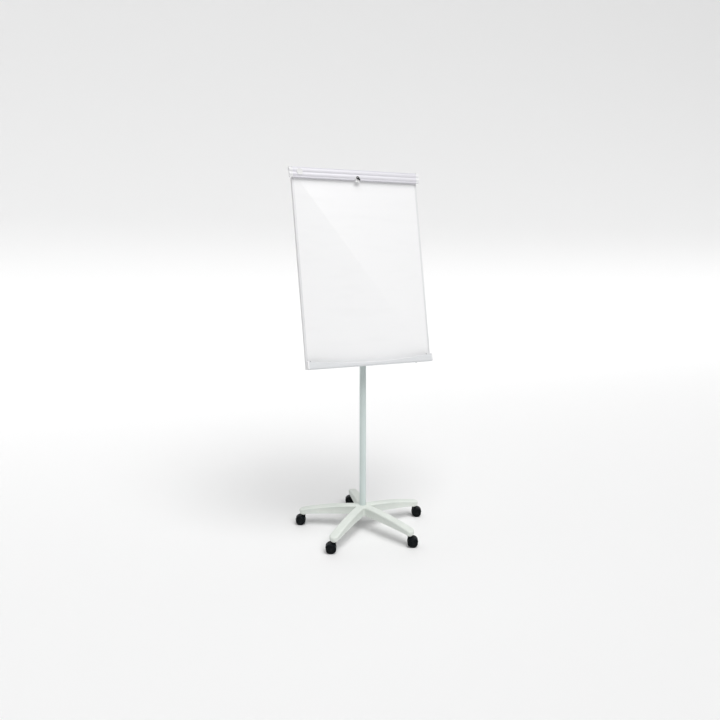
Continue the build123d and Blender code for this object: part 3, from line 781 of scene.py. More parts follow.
    def build(self) -> None:
        """Make the base and dress the pieces that are fixed in it."""
        shells = Shells()
        floor = upright()
        shells.grid(floor.put(self.skin_grid()), caps=False)
        hub = rounded([(5.3, 78), (27, 78), (27, 128), (17.6, 128), (17.6, 84), (5.3, 84)], 0.8)
        shells.turned(floor, hub, 56)
        collar = rounded([(17.6, 126), (19.6, 126), (19.2, 134.8), (17.6, 134.8)], 0.5)
        shells.turned(floor, collar, 56)
        socket = rounded(
            [(6.1, 61), (15.3, 61), (15.5, 65.5), (17.6, 66.5), (17.8, 72), (15.5, 74), (15.5, 92),
             (6.1, 92)],
            [0.3, 1.0, 0.8, 0.8, 0.8, 0.8, 0.3, 0.3],
        )
        for index in range(self.arms):
            turn = math.radians(self.first_arm + 360.0 / self.arms * index)
            arm = upright(turn=turn)
            shells.turned(arm.shifted(x=self.reach), socket, 40)
            self.ribs(shells, arm)
        fit(shells.piece("base_star_skin", BASE_PLASTIC, 32), "base", "base_plastic", "base_star")
        dress(STEEL, "stem_grip_rings", "base_bolt")
        dress(BLACK_PLASTIC, "post_plug")

    def ribs(self, shells: Shells, arm: Place) -> None:
        """Stiffening ribs under one arm: one along it and four across.

        A rib is a strip whose upper edge follows the arm's back and whose lower edge its keel.

        Args:
            shells: where the ribs are added.
            arm: frame with X along the arm.
        """
        x = np.linspace(26.0, self.reach - 14.0, 26)
        lower = np.stack([x, self.keel(x) + 3.0], -1)
        upper = np.stack([x, self.top(x) - 2.5], -1)
        edge = np.concatenate([lower, upper[::-1]])
        shells.bar(arm.axis_along("-y"), edge, -1.5, 1.5, 0.4)
        for at in (75.0, 135.0, 200.0, 265.0):
            low, high = float(self.keel(np.array(at))) + 3.0, float(self.top(np.array(at))) - 2.5
            across = box_outline(-20.5, 20.5, low, high, 0.4)
            shells.bar(Place(arm.put(np.array([at, 0, 0])), arm.y, arm.z, arm.x), across, -1.25, 1.25, 0.4)


# ---- Castors ------------------------------------------------------------------------------


@dataclass(frozen=True)
class Castor:
    """Hooded twin-wheel castor: hood and web in one moulding, and two wheels."""

    index: int
    wheel_radius: float = 25.0
    inner: float = 5.8
    outer: float = 23.5
    hood_radius: float = 28.6
    hood_bore: float = 26.4
    hood_edge: float = 9.0
    wheel_edge: float = 6.0
    lean: float = 28.0

    @property
    def name(self) -> str:
        """The castor's body."""
        return f"castor_{self.index}"

    def place(self) -> Place:
        """Frame at the middle of the axle: X towards the stem, Y along the axle, Z up."""
        spin = JOINTS[f"{self.name}_left_spin"]
        centre = np.array(spin["pos_m"], float)
        axle = np.array(spin["axis"], float)
        up = np.array([0.0, 0.0, 1.0])
        return Place(centre, np.cross(axle, up), axle, up)

    def arc(self, place: Place, section: np.ndarray, low: float, high: float, steps: int) -> np.ndarray:
        """Carry a section of (across, radius) round the axle between two angles.

        A point sits at (radius cos a, across, radius sin a), and the section shrinks to 0.985 of
        its size at both ends, which rounds them.

        Args:
            place: frame at the axle.
            section: closed outline.
            low: first angle in degrees, from X towards Z.
            high: last angle.
            steps: rings.

        Returns:
            Points in metres, shape (steps, n, 3).
        """
        angle = np.radians(np.linspace(low, high, steps))[:, None]
        share = np.minimum(np.arange(steps), np.arange(steps)[::-1])[:, None]
        draw = np.where(share == 0, 0.6, np.where(share == 1, 0.15, 0.0))
        copies = inset(section, draw[:, 0])
        radius, across = copies[:, :, 1], copies[:, :, 0]
        grid = np.stack([radius * np.cos(angle), across, radius * np.sin(angle)], axis=-1)
        return place.put(grid)

    def hood_section(self) -> np.ndarray:
        """Section of the hood as (across, radius), rounded over the wheels, with an inner lip.

        The wall's outer and inner lines are quarter circles whose lower ends stop at the lip.
        """
        lip = self.hood_bore - 3.5
        sides = []
        for radius, half, edge in (
            (self.hood_radius, self.outer + 2.3, self.hood_edge),
            (self.hood_bore, self.outer + 0.7, self.hood_edge - 1.6),
        ):
            angle = np.linspace(math.asin((lip - radius + edge) / edge), math.pi / 2, 9)
            across, away = half - edge + edge * np.cos(angle), radius - edge + edge * np.sin(angle)
            sides.append(np.stack([across, away], -1))
        outer, inner = sides
        return np.concatenate([outer, outer[::-1] * [-1, 1], inner * [-1, 1], inner[::-1]])

    def hood(self, place: Place) -> None:
        """Make the hood, the web between the wheels and the boss round the stem."""
        section = self.hood_section()
        shells = Shells()
        low, high = -self.lean - 8.0, 180.0 - self.lean + 8.0
        shells.grid(self.arc(place, section, low, high, 44))
        web = self.inner - 0.6
        brow = rounded([(-web, 4.0), (-web, 27.3), (web, 27.3), (web, 4.0)], 0.8)
        shells.grid(self.arc(place, brow, low - 22.0, high + 22.0, 44))
        eye = rounded([(3.05, -web - 0.3), (8.5, -web - 0.3), (8.5, web + 0.3), (3.05, web + 0.3)], 0.5)
        shells.turned(place.axis_along("y"), eye, 32)
        boss = rounded([(5.6, 3.0), (9.5, 3.0), (9.5, 32.3), (5.6, 32.3)], [0.3, 0.8, 1.4, 0.3])
        stem = np.array(JOINTS[f"{self.name}_swivel"]["pos_m"], float) - place.origin
        reach = float(np.hypot(stem[0], stem[1])) / MM
        shells.turned(place.shifted(x=reach), boss, 36)
        ridge = box_outline(-1.1, 1.1, self.hood_radius - 1.0, self.hood_radius, 0.3)
        shells.grid(self.arc(place, ridge, 40.0, high - 2.0, 24))
        made = shells.piece(f"{self.name}_hood", CASTOR_PLASTIC)
        fit(made, self.name, "castor_plastic", f"{self.name}_housing")

    def wheel(self, place: Place, side: Side) -> None:
        """Make one wheel: a crowned tread, a dished face with seven spokes, and a hub cap."""
        sign = side.value * -1
        face = self.outer
        profile = rounded(
            [(3.05, self.inner), (self.wheel_radius, self.inner), (self.wheel_radius, face), (17.8, face),
             (16.6, face - 2.6), (8.2, face - 2.6), (7.2, face - 0.4), (0.0, face - 0.1), (0.0, face - 3.5),
             (3.05, face - 3.5)],
            [0.3, 2.5, self.wheel_edge, 0.5, 0.7, 0.7, 0.6, 0.0, 0.0, 0.0],
        )
        axle = place.axis_along("y")
        out = Place(axle.origin, axle.x, axle.y * sign, axle.z * sign)
        shells = Shells().turned(out, profile, 64)
        spoke = box_outline(7.6, 17.2, -1.4, 1.4, 0.6)
        for turn in np.linspace(0, 2 * math.pi, 7, endpoint=False):
            x = out.x * math.cos(turn) + out.y * math.sin(turn)
            y = out.y * math.cos(turn) - out.x * math.sin(turn)
            shells.bar(Place(out.origin, x, y, out.z), spoke, face - 3.2, face - 0.9, 0.5)
        part = "left" if sign > 0 else "right"
        made = shells.piece(f"{self.name}_{part}_wheel", WHEEL_PLASTIC)
        fit(made, f"{self.name}_{part}", "wheel_plastic", f"{self.name}_wheel_{part}")

    def build(self) -> None:
        """Make the castor."""
        place = self.place()
        self.hood(place)
        self.wheel(place, Side.LEFT)
        self.wheel(place, Side.RIGHT)
        dress(STEEL, f"{self.name}_stem", f"{self.name}_axle")


# ---- Column -------------------------------------------------------------------------------


def lobes(count: int, depth: float) -> Callable[[np.ndarray, np.ndarray], np.ndarray]:
    """Finger lobes of a knob: the radius loses depth ((1 + cos(count a)) / 2) ^ 1.5 of itself at the rim.

    Args:
        count: lobes round the knob.
        depth: share of the radius lost in a hollow.

    Returns:
        The factor as a function of angle and radius.
    """

    def factor(angle: np.ndarray, radius: np.ndarray) -> np.ndarray:
        """Fade the hollow in from half the rim's radius."""
        fade = np.clip(radius / radius.max() * 2 - 1, 0, 1)
        return 1 - depth * fade * ((1 + np.cos(count * angle)) / 2) ** 1.5

    return factor


def hand_knob(shells: Shells, place: Place, bore: float, radius: float, length: float) -> None:
    """Add a lobed hand knob with its neck below its base, along the local Z axis."""
    profile = rounded(
        [(bore, -4), (radius * 0.55, -4), (radius * 0.58, 0), (radius - 1.5, 0), (radius, 3),
         (radius, length - 4), (radius - 5, length - 0.6), (7, length - 1.2), (6.2, length), (0, length),
         (0, length - 5.5), (bore, length - 5.5)],
        [0.3, 0.6, 0.5, 1.5, 2.0, 3.5, 2.5, 0.5, 0.6, 0.0, 0.0, 0.0],
    )
    shells.turned(place, profile, 96, lobes(6, 0.17))


@dataclass(frozen=True)
class Column:
    """Post, guide bush, clamp collar with its knob, and the sliding mast."""

    post_radius: float = 17.5
    post_bore: float = 16.0
    bush_bore: float = 15.05
    collar_radius: float = 23.5
    screw: float = 4.0
    knob_radius: float = 19.0

    def build(self) -> None:
        """Make the column's pieces in the order they stack up."""
        floor = upright()
        low, high = (corner[2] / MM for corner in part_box("post_tube"))
        wall = box_outline(self.post_bore, self.post_radius, low, high, 0.3)
        post = Shells().turned(floor, wall, 72)
        fit(post.piece("post_tube_painted", POST_PAINT), "base", "post_paint", "post_tube")

        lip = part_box("guide_bush")[1][2] / MM
        rim = rounded(
            [(self.bush_bore, lip - 20), (self.post_bore, lip - 20), (self.post_bore, lip - 3),
             (self.post_radius, lip - 3), (self.post_radius, lip), (self.bush_bore, lip)],
            [0.1, 0.1, 0.1, 0.3, 1.0, 0.6],
        )
        bush = Shells().turned(floor, rim, 64)
        fit(bush.piece("guide_bush_rim", BLACK_PLASTIC), "base", "black_plastic", "guide_bush")
        self.collar(floor, *(corner[2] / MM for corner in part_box("clamp_collar")))
        self.knob()
        dress(MAST_STEEL, "mast_tube")
        dress(BLACK_PLASTIC, "mast_foot_bush")
        dress(STEEL, "height_screw")

    def collar(self, floor: Place, low: float, high: float) -> None:
        """Make the clamp collar: a waisted ring, with a boss for the clamp screw."""
        outer, bore = self.collar_radius, self.post_radius + 0.02
        ring = rounded(
            [(bore, low), (outer - 3, low), (outer, low + 5), (outer, high - 5), (outer - 3, high),
             (bore, high)],
            [0.4, 2.0, 3.0, 3.0, 2.0, 0.4],
        )
        shells = Shells().turned(floor, ring, 64)
        middle = np.array(JOINTS["height_knob_turn"]["pos_m"]) / MM
        hole = self.screw + 0.1
        boss = rounded([(hole, 19), (11.5, 19), (10.5, 33), (hole, 33)], [0.3, 0.3, 1.5, 0.5])
        shells.turned(floor.shifted(z=middle[2]).axis_along("y"), boss, 40)
        fit(shells.piece("clamp_collar_ring", BLACK_PLASTIC), "base", "black_plastic", "clamp_collar")

    def knob(self) -> None:
        """Make the height clamp's knob on its screw."""
        front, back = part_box("height_knob")
        height = JOINTS["height_knob_turn"]["pos_m"][2]
        base = upright(z=height).shifted(y=front[1] / MM + 4).axis_along("y")
        shells = Shells()
        hand_knob(shells, base, self.screw, self.knob_radius, (back[1] - front[1]) / MM - 4)
        fit(shells.piece("height_knob_grip", KNOB_PLASTIC), "height_knob", "knob_plastic", "height_knob")


# ---- Board and the pieces fixed to it -----------------------------------------------------


HINGE = (-8.0, 1010.0)


def board_place() -> Place:
    """Frame on the board: X along it, Y up it, Z out of its face, from the foot of the face.

    The clamp's hinge axis lies 8 mm behind the face and 1010 mm up it.
    """
    out = np.array(JOINTS["latch_turn"]["axis"], float)
    across = np.array([1.0, 0.0, 0.0])
    up = np.cross(out, across)
    hinge = np.array(JOINTS["clamp_open"]["pos_m"], float) * [0, 1, 1]
    return Place(hinge - (HINGE[0] * out + HINGE[1] * up) * MM, across, up, out)


ON_BOARD = board_place()
SECTION = Place(ON_BOARD.origin, ON_BOARD.z, ON_BOARD.y, ON_BOARD.x)


def bow(start: tuple[float, float], end: tuple[float, float], radius: float, steps: int = 10) -> np.ndarray:
    """Points on an arc that bulges outwards, away from the board, between two points of a section.

    The centre lies sqrt(radius ^ 2 - (chord / 2) ^ 2) behind the chord's middle.
    """
    a, b = np.array(start), np.array(end)
    chord = b - a
    half = np.linalg.norm(chord) / 2
    behind = np.array([-chord[1], chord[0]]) / (2 * half)
    centre = (a + b) / 2 + behind * math.sqrt(radius**2 - half**2)
    turn = np.arctan2(a[1] - centre[1], a[0] - centre[0])
    last = np.arctan2(b[1] - centre[1], b[0] - centre[0])
    angle = np.linspace(turn, last, steps)
    return centre + radius * np.stack([np.cos(angle), np.sin(angle)], -1)


def screw_head(shells: Shells, place: Place, radius: float, height: float) -> None:
    """Add a domed screw head with a four-lobed recess, seated at the local origin."""
    profile = rounded(
        [(0, 0), (radius, 0), (radius, height * 0.35), (radius * 0.8, height * 0.85), (radius * 0.5, height),
         (radius * 0.42, height * 0.35), (0, height * 0.35)],
        [0, 0.15, height * 0.3, height * 0.3, 0.1, 0.1, 0],
        3,
    )

    def cross(angle: np.ndarray, ring: np.ndarray) -> np.ndarray:
        """Draw the recess in between its four arms."""
        return np.where(ring < radius * 0.54, 1 - 0.55 * (np.sin(2 * angle) ** 2) ** 2, 1.0)

    shells.turned(place, profile, 40, cross)


@dataclass(frozen=True)
class Board:
    """Enamelled sheet on a card core, backed with steel sheet and edged with U trims."""

    half: float = 350.0
    top: float = 1004.0
    low: float = 3.0
    trim_top: float = 971.0
    flange: float = 10.0
    wall: float = 1.2
    face: float = 0.8
    back: float = 19.0
    back_sheet: float = 0.7
    hat_at: float = 190.0
    weld_pitch: float = 155.0

    def layer(
        self, name: str, front: float, back: float, material: bpy.types.Material, slot: str, node: str
    ) -> None:
        """Make one flat layer between two depths behind the face."""
        wide = self.half - self.wall
        outline = box_outline(-wide, wide, self.low + self.wall, self.top, 1.5)
        made = Shells().bar(ON_BOARD, outline, -back, -front, 0.12)
        fit(made.piece(name, material), "board", slot, node)

    def trims(self) -> None:
        """Make the U trims up both sides and along the foot."""
        back = self.back + self.wall
        inner, wide = self.half - self.flange, self.half - self.wall
        channel = rounded(
            [(inner, self.wall), (self.half, self.wall), (self.half, -back), (inner, -back),
             (inner, -self.back), (wide, -self.back), (wide, 0.0), (inner, 0.0)],
            [0.35, 1.5, 1.5, 0.35, 0.35, 0.5, 0.5, 0.35],
        )
        up = Place(ON_BOARD.origin, ON_BOARD.x, ON_BOARD.z, ON_BOARD.y)
        sides = Shells()
        for side in Side:
            sides.bar(up, channel * [side.value, 1], self.low, self.trim_top, 0.2)
        fit(sides.piece("side_trim_channels", TRIM_PAINT), "board", "trim_paint", "side_trims")
        rise, web = self.low + self.flange, self.low + self.wall
        foot = rounded(
            [(self.wall, self.low), (self.wall, rise), (0.0, rise), (0.0, web), (-self.back, web),
             (-self.back, rise), (-back, rise), (-back, self.low)],
            [1.2, 0.35, 0.35, 0.5, 0.5, 0.35, 0.35, 1.2],
        )
        made = Shells().bar(SECTION, foot, -inner, inner, 0.2)
        fit(made.piece("bottom_trim_channel", TRIM_PAINT), "board", "trim_paint", "bottom_trim")

    def stiffeners(self) -> None:
        """Make the two hat rails on the back, with a row of spot welds on each flange."""
        back, thin = -self.back, -self.back - self.wall
        hat = rounded(
            [(-20, back), (-20, thin), (-11, thin), (-11, back - 13), (11, back - 13), (11, thin), (20, thin),
             (20, back), (9.8, back), (9.8, back - 11.8), (-9.8, back - 11.8), (-9.8, back)],
            [0.4, 0.4, 1.0, 2.0, 2.0, 1.0, 0.4, 0.4, 1.0, 1.0, 1.0, 1.0],
        )
        up = Place(ON_BOARD.origin, ON_BOARD.x, ON_BOARD.z, ON_BOARD.y)
        weld = rounded([(0, 0), (2.6, 0), (2.2, 0.35), (1.2, 0.2), (0, 0.2)], [0, 0.1, 0.15, 0.15, 0], 2)
        shells = Shells()
        for side in Side:
            shells.bar(up, hat + [side.value * self.hat_at, 0], 45, 975, 0.2)
            for across in (-15.5, 15.5):
                for height in np.arange(75.0, 960.0, self.weld_pitch):
                    seat = ON_BOARD.shifted(side.value * self.hat_at + across, height, thin)
                    shells.turned(Place(seat.origin, seat.x, -seat.y, -seat.z), weld, 20)
        fit(shells.piece("back_hat_rails", SHEET), "board", "zinc_sheet", "back_stiffeners")

    def build(self) -> None:
        """Make the board."""
        self.layer("writing_face", 0.0, self.face, ENAMEL, "enamel", "board_face")
        core_back = self.back - self.back_sheet
        self.layer("card_core", self.face, core_back, CARD, "core_card", "board_core")
        self.layer("back_panel", core_back, self.back, SHEET, "zinc_sheet", "board_back_sheet")
        self.trims()
        self.stiffeners()


@dataclass(frozen=True)
class TiltHead:
    """Tongue on the mast, the bracket that grips it, the bolt through both and the tilt knob."""

    eye: float = 16.0
    tongue: float = 10.0
    gap: float = 0.4
    ear: float = 3.0
    bolt: float = 5.0
    ear_radius: float = 14.4
    plate: float = 3.0
    board_back: float = 19.0

    def build(self) -> None:
        """Make the tilt head about the tilt joint."""
        pivot = np.array(JOINTS["board_tilt"]["pos_m"], float) * [0, 1, 1]
        out, up = ((pivot - ON_BOARD.origin) @ axis / MM for axis in (ON_BOARD.z, ON_BOARD.y))
        self.make_tongue(pivot)
        self.make_bracket(out, up)
        self.make_fasteners(pivot, out, up)

    def make_tongue(self, pivot: np.ndarray) -> None:
        """Make the flanged tongue with its bored eye."""
        floor = upright()
        height = pivot[2] / MM
        flange = height - 30
        shells = Shells()
        spigot = rounded([(0, flange - 20), (13.4, flange - 20), (13.4, flange), (0, flange)], [0, 0.5, 0, 0])
        shells.turned(floor, spigot, 48)
        cap = rounded([(0, flange), (16, flange), (16, flange + 4), (0, flange + 4)], [0, 0.6, 0.8, 0])
        shells.turned(floor, cap, 56)
        stalk = box_outline(-12, 12, flange + 3, height - 9, 1.0)
        sideways = Place(floor.origin, floor.y, floor.z, floor.x)
        shells.bar(sideways, stalk, -self.tongue, self.tongue, 1.2)
        half, bore = self.tongue, self.bolt + 0.05
        corners = [(bore, -half), (self.eye, -half), (self.eye, half), (bore, half)]
        ring = rounded(corners, [0.4, 1.2, 1.2, 0.4])
        shells.turned(Place(pivot, floor.y, floor.z, floor.x), ring, 56)
        fit(shells.piece("tongue_casting", BRACKET_PAINT), "mast", "bracket_paint", "tilt_tongue")

    def make_bracket(self, out: float, up: float) -> None:
        """Make the bracket: a plate on the board's back with two folded ears.

        Args:
            out: the pivot's distance in front of the board's face, which is negative.
            up: its height up the board.
        """
        shells = Shells()
        back = -self.board_back
        plate = box_outline(-100, 100, up - 60, up + 60, 12.0)
        shells.bar(ON_BOARD, plate, back - self.plate, back, 0.5)
        angle = np.radians(np.linspace(75, 270, 16))
        nose = np.stack([out + self.ear_radius * np.cos(angle), up + self.ear_radius * np.sin(angle)], -1)
        ear = np.concatenate([[[back - 2, up - 30], [back - 2, up + 48]], nose, [[out + 16, up - 14]]])
        low, high = self.tongue + self.gap, self.tongue + self.gap + self.ear
        shells.bar(SECTION, ear, low, high, 0.5)
        shells.bar(SECTION, ear, -high, -low, 0.5)
        fit(shells.piece("bracket_pressing", BRACKET_PAINT), "board", "bracket_paint", "board_bracket")

    def make_fasteners(self, pivot: np.ndarray, out: float, up: float) -> None:
        """Make the bolt, the four bracket screws and the tilt knob."""
        across = Place(pivot, ON_BOARD.y, ON_BOARD.z, ON_BOARD.x)
        outer = self.tongue + self.gap + self.ear
        bolt = rounded(
            [(0, -outer - 5), (7, -outer - 5), (9, -outer - 3.6), (9, -outer), (self.bolt, -outer),
             (self.bolt, outer + 16), (0, outer + 16)],
            [0, 1.0, 0.8, 0.3, 0.2, 0.6, 0],
        )
        made = Shells().turned(across, bolt, 48).piece("pivot_bolt_turned", STEEL)
        fit(made, "board", "steel", "pivot_bolt")
        knob = Shells()
        hand_knob(knob, across.shifted(z=outer + 4.3), self.bolt + 0.1, 19.0, 18.0)
        fit(knob.piece("tilt_knob_grip", KNOB_PLASTIC), "tilt_knob", "knob_plastic", "tilt_knob")
        screws = Shells()
        for x in (-80.0, 80.0):
            for rise in (-42.0, 42.0):
                seat = ON_BOARD.shifted(x, up + rise, -self.board_back - self.plate)
                screw_head(screws, Place(seat.origin, seat.x, -seat.y, -seat.z), 5.0, 3.0)
        fit(screws.piece("bracket_screw_heads", STEEL), "board", "steel", "bracket_screws")


# ---- Clamp rail ---------------------------------------------------------------------------


@dataclass(frozen=True)
class ClampRail:
    """Rail along the board's top, the hinged clamp bar over it, its latch and the two pad hooks."""

    half: float = 346.0
    cap: float = 18.0
    low: float = 964.0
    high: float = 1020.0
    back: float = 1.8
    hollow_top: float = 1001.0
    hollow_out: float = 11.5
    hook_height: float = 981.0
    latch_height: float = 974.0

    def section(self, grow: float) -> list[np.ndarray]:
        """Outer section of the clamp bar from its lip upwards, as runs of points.

        The upper rib loses 2.6 exp(-((height - 6 below the top) / 1.4) ^ 2) along a fine groove.

        Args:
            grow: how far it stands outside the bar's own section.

        Returns:
            The lip, the lower rib and the upper rib up to the top edge.
        """
        lip = np.array([(13.0, self.low - grow), (14.6, self.low + 0.6), (15.0, self.low + 2)]) + [grow, 0]
        lower = bow((13.0 + grow, self.low + 5), (13.4 + grow, 990.0), 19)
        upper = bow((13.4 + grow, 991.0), (6.6 + grow, self.high - 0.6 + grow), 24, 26)
        groove = np.exp(-(((upper[:, 1] - self.high + 6.0) / 1.4) ** 2))
        upper[:, 0] -= 2.6 * groove
        return [lip, lower, upper]

    def bar(self) -> None:
        """Make the clamp bar: two soft ribs outside and an open hollow over the pad's hooks."""
        foot = self.low + 5
        inside = rounded(
            [(5.0, self.high), (self.back, self.high), (self.back, self.hollow_top),
             (self.hollow_out, self.hollow_top), (self.hollow_out, foot), (self.back, foot),
             (self.back, self.low), (5.0, self.low)],
            [0, 0.5, 0.4, 1.0, 1.0, 0.4, 0.5, 0],
        )[4:-4]
        outline = np.concatenate(self.section(0.0) + [inside])
        made = Shells().bar(SECTION, outline, -self.half, self.half, 0.2)
        fit(made.piece("clamp_bar_profile", RAIL_METAL, 24), "clamp_bar", "rail_aluminium", "clamp_bar")

    def caps(self) -> None:
        """Make the end caps with the ears that hang on the hinge pins."""
        grow = 0.75
        outer = np.concatenate(self.section(grow) + [
            np.array([(self.back + 0.6, self.high + grow), (self.back, self.high + grow - 0.6)]),
            np.array([(self.back, self.low - grow + 0.6), (self.back + 0.6, self.low - grow)]),
        ])
        shells = Shells()
        for side in Side:
            across = Place(SECTION.origin, SECTION.x, SECTION.y, SECTION.z * side.value)
            shells.bar(across, outer, self.half + 5.2, self.half + self.cap, 1.4)
            shells.bar(across, self.closed_front(outer), self.half, self.half + 5.6, 0.2)
            hinge = across.shifted(*HINGE)
            ear = rounded([(2.6, 352.6), (7.0, 352.6), (7.0, 362.0), (2.6, 362.0)], [0.3, 0.8, 0.8, 0.3])
            shells.turned(hinge, ear, 36)
            arm = box_outline(HINGE[0] + 3.2, self.back + 0.8, HINGE[1] - 6.6, HINGE[1] + 6.6, 0.8)
            shells.bar(across, arm, 352.6, 362.0, 0.8)
        fit(shells.piece("clamp_bar_caps", CAP_PLASTIC, 30), "clamp_bar", "cap_plastic", "clamp_end_caps")

    def closed_front(self, outer: np.ndarray) -> np.ndarray:
        """Section of the cap where the rail's channel runs into it: the front wall alone."""
        front = outer[outer[:, 0] > self.hollow_out - 0.1]
        high, low = front[:, 1].max(), front[:, 1].min()
        return np.concatenate([front, [[self.hollow_out, high], [self.hollow_out, low]]])

    def rail(self) -> None:
        """Make the fixed rail: a cap over the board's edge and the hooks' channel below it."""
        wall, board_back, board_top = 1.2, 19.0, 1004.0
        outer_back, lip, lip_inner = board_back + wall, 5.0, 3.8
        low, high = self.hook_height - 9, self.hook_height + 9
        profile = rounded(
            [(wall, 1016.0), (-outer_back, 1016.0), (-outer_back, 994.0), (-board_back, 994.0),
             (-board_back, board_top), (0.0, board_top), (0.0, low), (lip, low), (lip, low + 4),
             (lip_inner, low + 4), (lip_inner, low + 1.4), (wall, low + 1.4), (wall, high - 1.4),
             (lip_inner, high - 1.4), (lip_inner, high - 4), (lip, high - 4), (lip, high), (wall, high)],
            [5.8, 2.5, 0.4, 0.4, 0.5, 0.3, 0.3, 0.5, 0.4, 0.4, 0.4, 0.4, 0.4, 0.4, 0.4, 0.4, 0.5, 0.3],
        )
        made = Shells().bar(SECTION, profile, -350.0, 350.0, 0.25)
        fit(made.piece("top_rail_profile", RAIL_METAL, 24), "board", "rail_aluminium", "top_rail")
        dress(STEEL, "clamp_hinge_pins")

    def badge(self) -> None:
        """Make the plain round badge let into the bar's left end."""
        profile = rounded(
            [(0, 15.6), (16, 15.6), (16, 18.6), (14.2, 18.6), (13.4, 18.0), (0, 18.0)],
            [0, 0, 0.7, 0.3, 0.3, 0],
        )
        made = Shells().turned(ON_BOARD.shifted(-310.0, 992.0), profile, 64)
        fit(made.piece("badge_disc", BADGE_PLASTIC), "clamp_bar", "badge_plastic", "clamp_badge")

    def latch(self) -> None:
        """Make the latch's seat with its pin and lobes, and the comma-shaped lever on the pin.

        The lever is a stack of closed lines between the pin's hole and the comma, which is seen
        whole from the pin, so each line is hole + (comma - hole) share.
        """
        pin = ON_BOARD.shifted(y=self.latch_height)
        shells = Shells()
        seat = rounded([(0, 14.6), (12.4, 14.6), (12.5, 18.8), (11.4, 18.8), (10.9, 18.4), (0, 18.4)],
                       [0, 0, 0.6, 0.2, 0.2, 0])
        shells.turned(pin.shifted(y=-2.0), seat, 56)
        stud = rounded([(0, 14.0), (2.0, 14.0), (2.0, 24.6), (0, 24.6)], [0, 0, 0.5, 0])
        shells.turned(pin, stud, 24)
        lobe = rounded([(0, 15.2), (6.0, 15.2), (6.0, 18.0), (0, 18.0)], [0, 0.5, 0.9, 0])
        for x in (-6.5, 6.5):
            shells.turned(ON_BOARD.shifted(x, 956.0), lobe, 36)
        fit(shells.piece("latch_seat", BADGE_PLASTIC), "clamp_bar", "badge_plastic", "latch_plate")

        knots = np.array([(-1.5, -6.7), (1.9, -7.6), (5.0, -9.2), (8.7, -12.1), (12.0, -15.3), (13.6, -15.2),
                          (14.4, -13.6), (12.7, -8.8), (10.4, -4.2), (8.2, 0.8), (5.5, 4.4), (2.0, 6.9),
                          (-2.0, 6.9), (-5.3, 4.9), (-6.9, 1.6), (-6.6, -2.2), (-4.6, -5.2)])
        turn, reach = np.arctan2(knots[:, 1], knots[:, 0]), np.hypot(knots[:, 0], knots[:, 1])
        order = np.argsort(turn)
        angle = np.linspace(-math.pi, math.pi, 72, endpoint=False)
        edge = np.interp(angle, turn[order], reach[order], period=2 * math.pi)
        edge = (np.roll(edge, 1) + 2 * edge + np.roll(edge, -1)) / 4
        hole = 2.08
        lines = [(0.0, 24.0), (0.35, 24.0), (0.8, 23.8), (0.94, 23.2), (1.0, 22.4), (1.0, 19.8),
                 (0.95, 19.3), (0.0, 19.3)]
        share, level = (np.array(column)[:, None] for column in zip(*lines))
        radius = hole + (edge[None] - hole) * share
        flat = [radius * np.cos(angle), radius * np.sin(angle), np.broadcast_to(level, radius.shape)]
        lever = Shells().grid(pin.put(np.stack(flat, -1)), around_first=True)
        fit(lever.piece("latch_lever", BLACK_PLASTIC), "clamp_latch", "black_plastic", "clamp_latch")

    def hooks(self) -> None:
        """Make the two pad hooks: a slider in the rail's channel and a round-nosed peg."""
        for side in Side:
            body = f"pad_hook_{side.name.lower()}"
            at = ON_BOARD.shifted(side.value * 210.0, self.hook_height)
            shells = Shells()
            shells.bar(at, box_outline(-11, 11, -7.5, 7.5, 1.0), 1.3, 3.7, 0.3)
            shells.bar(at, box_outline(-11, 11, -4.9, 4.9, 1.0), 3.4, 5.4, 0.5)
            peg = rounded([(0, 4), (4.0, 4), (4.0, 14.0), (0, 14.0)], [0, 0, 1.4, 0])
            shells.turned(at, peg, 36)
            fit(shells.piece(f"{body}_slider", BLACK_PLASTIC), body, "black_plastic", body)

    def build(self) -> None:
        """Make the rail and everything that it carries."""
        self.rail()
        self.bar()
        self.caps()
        self.badge()
        self.latch()
        self.hooks()


# ---- Pen tray -----------------------------------------------------------------------------


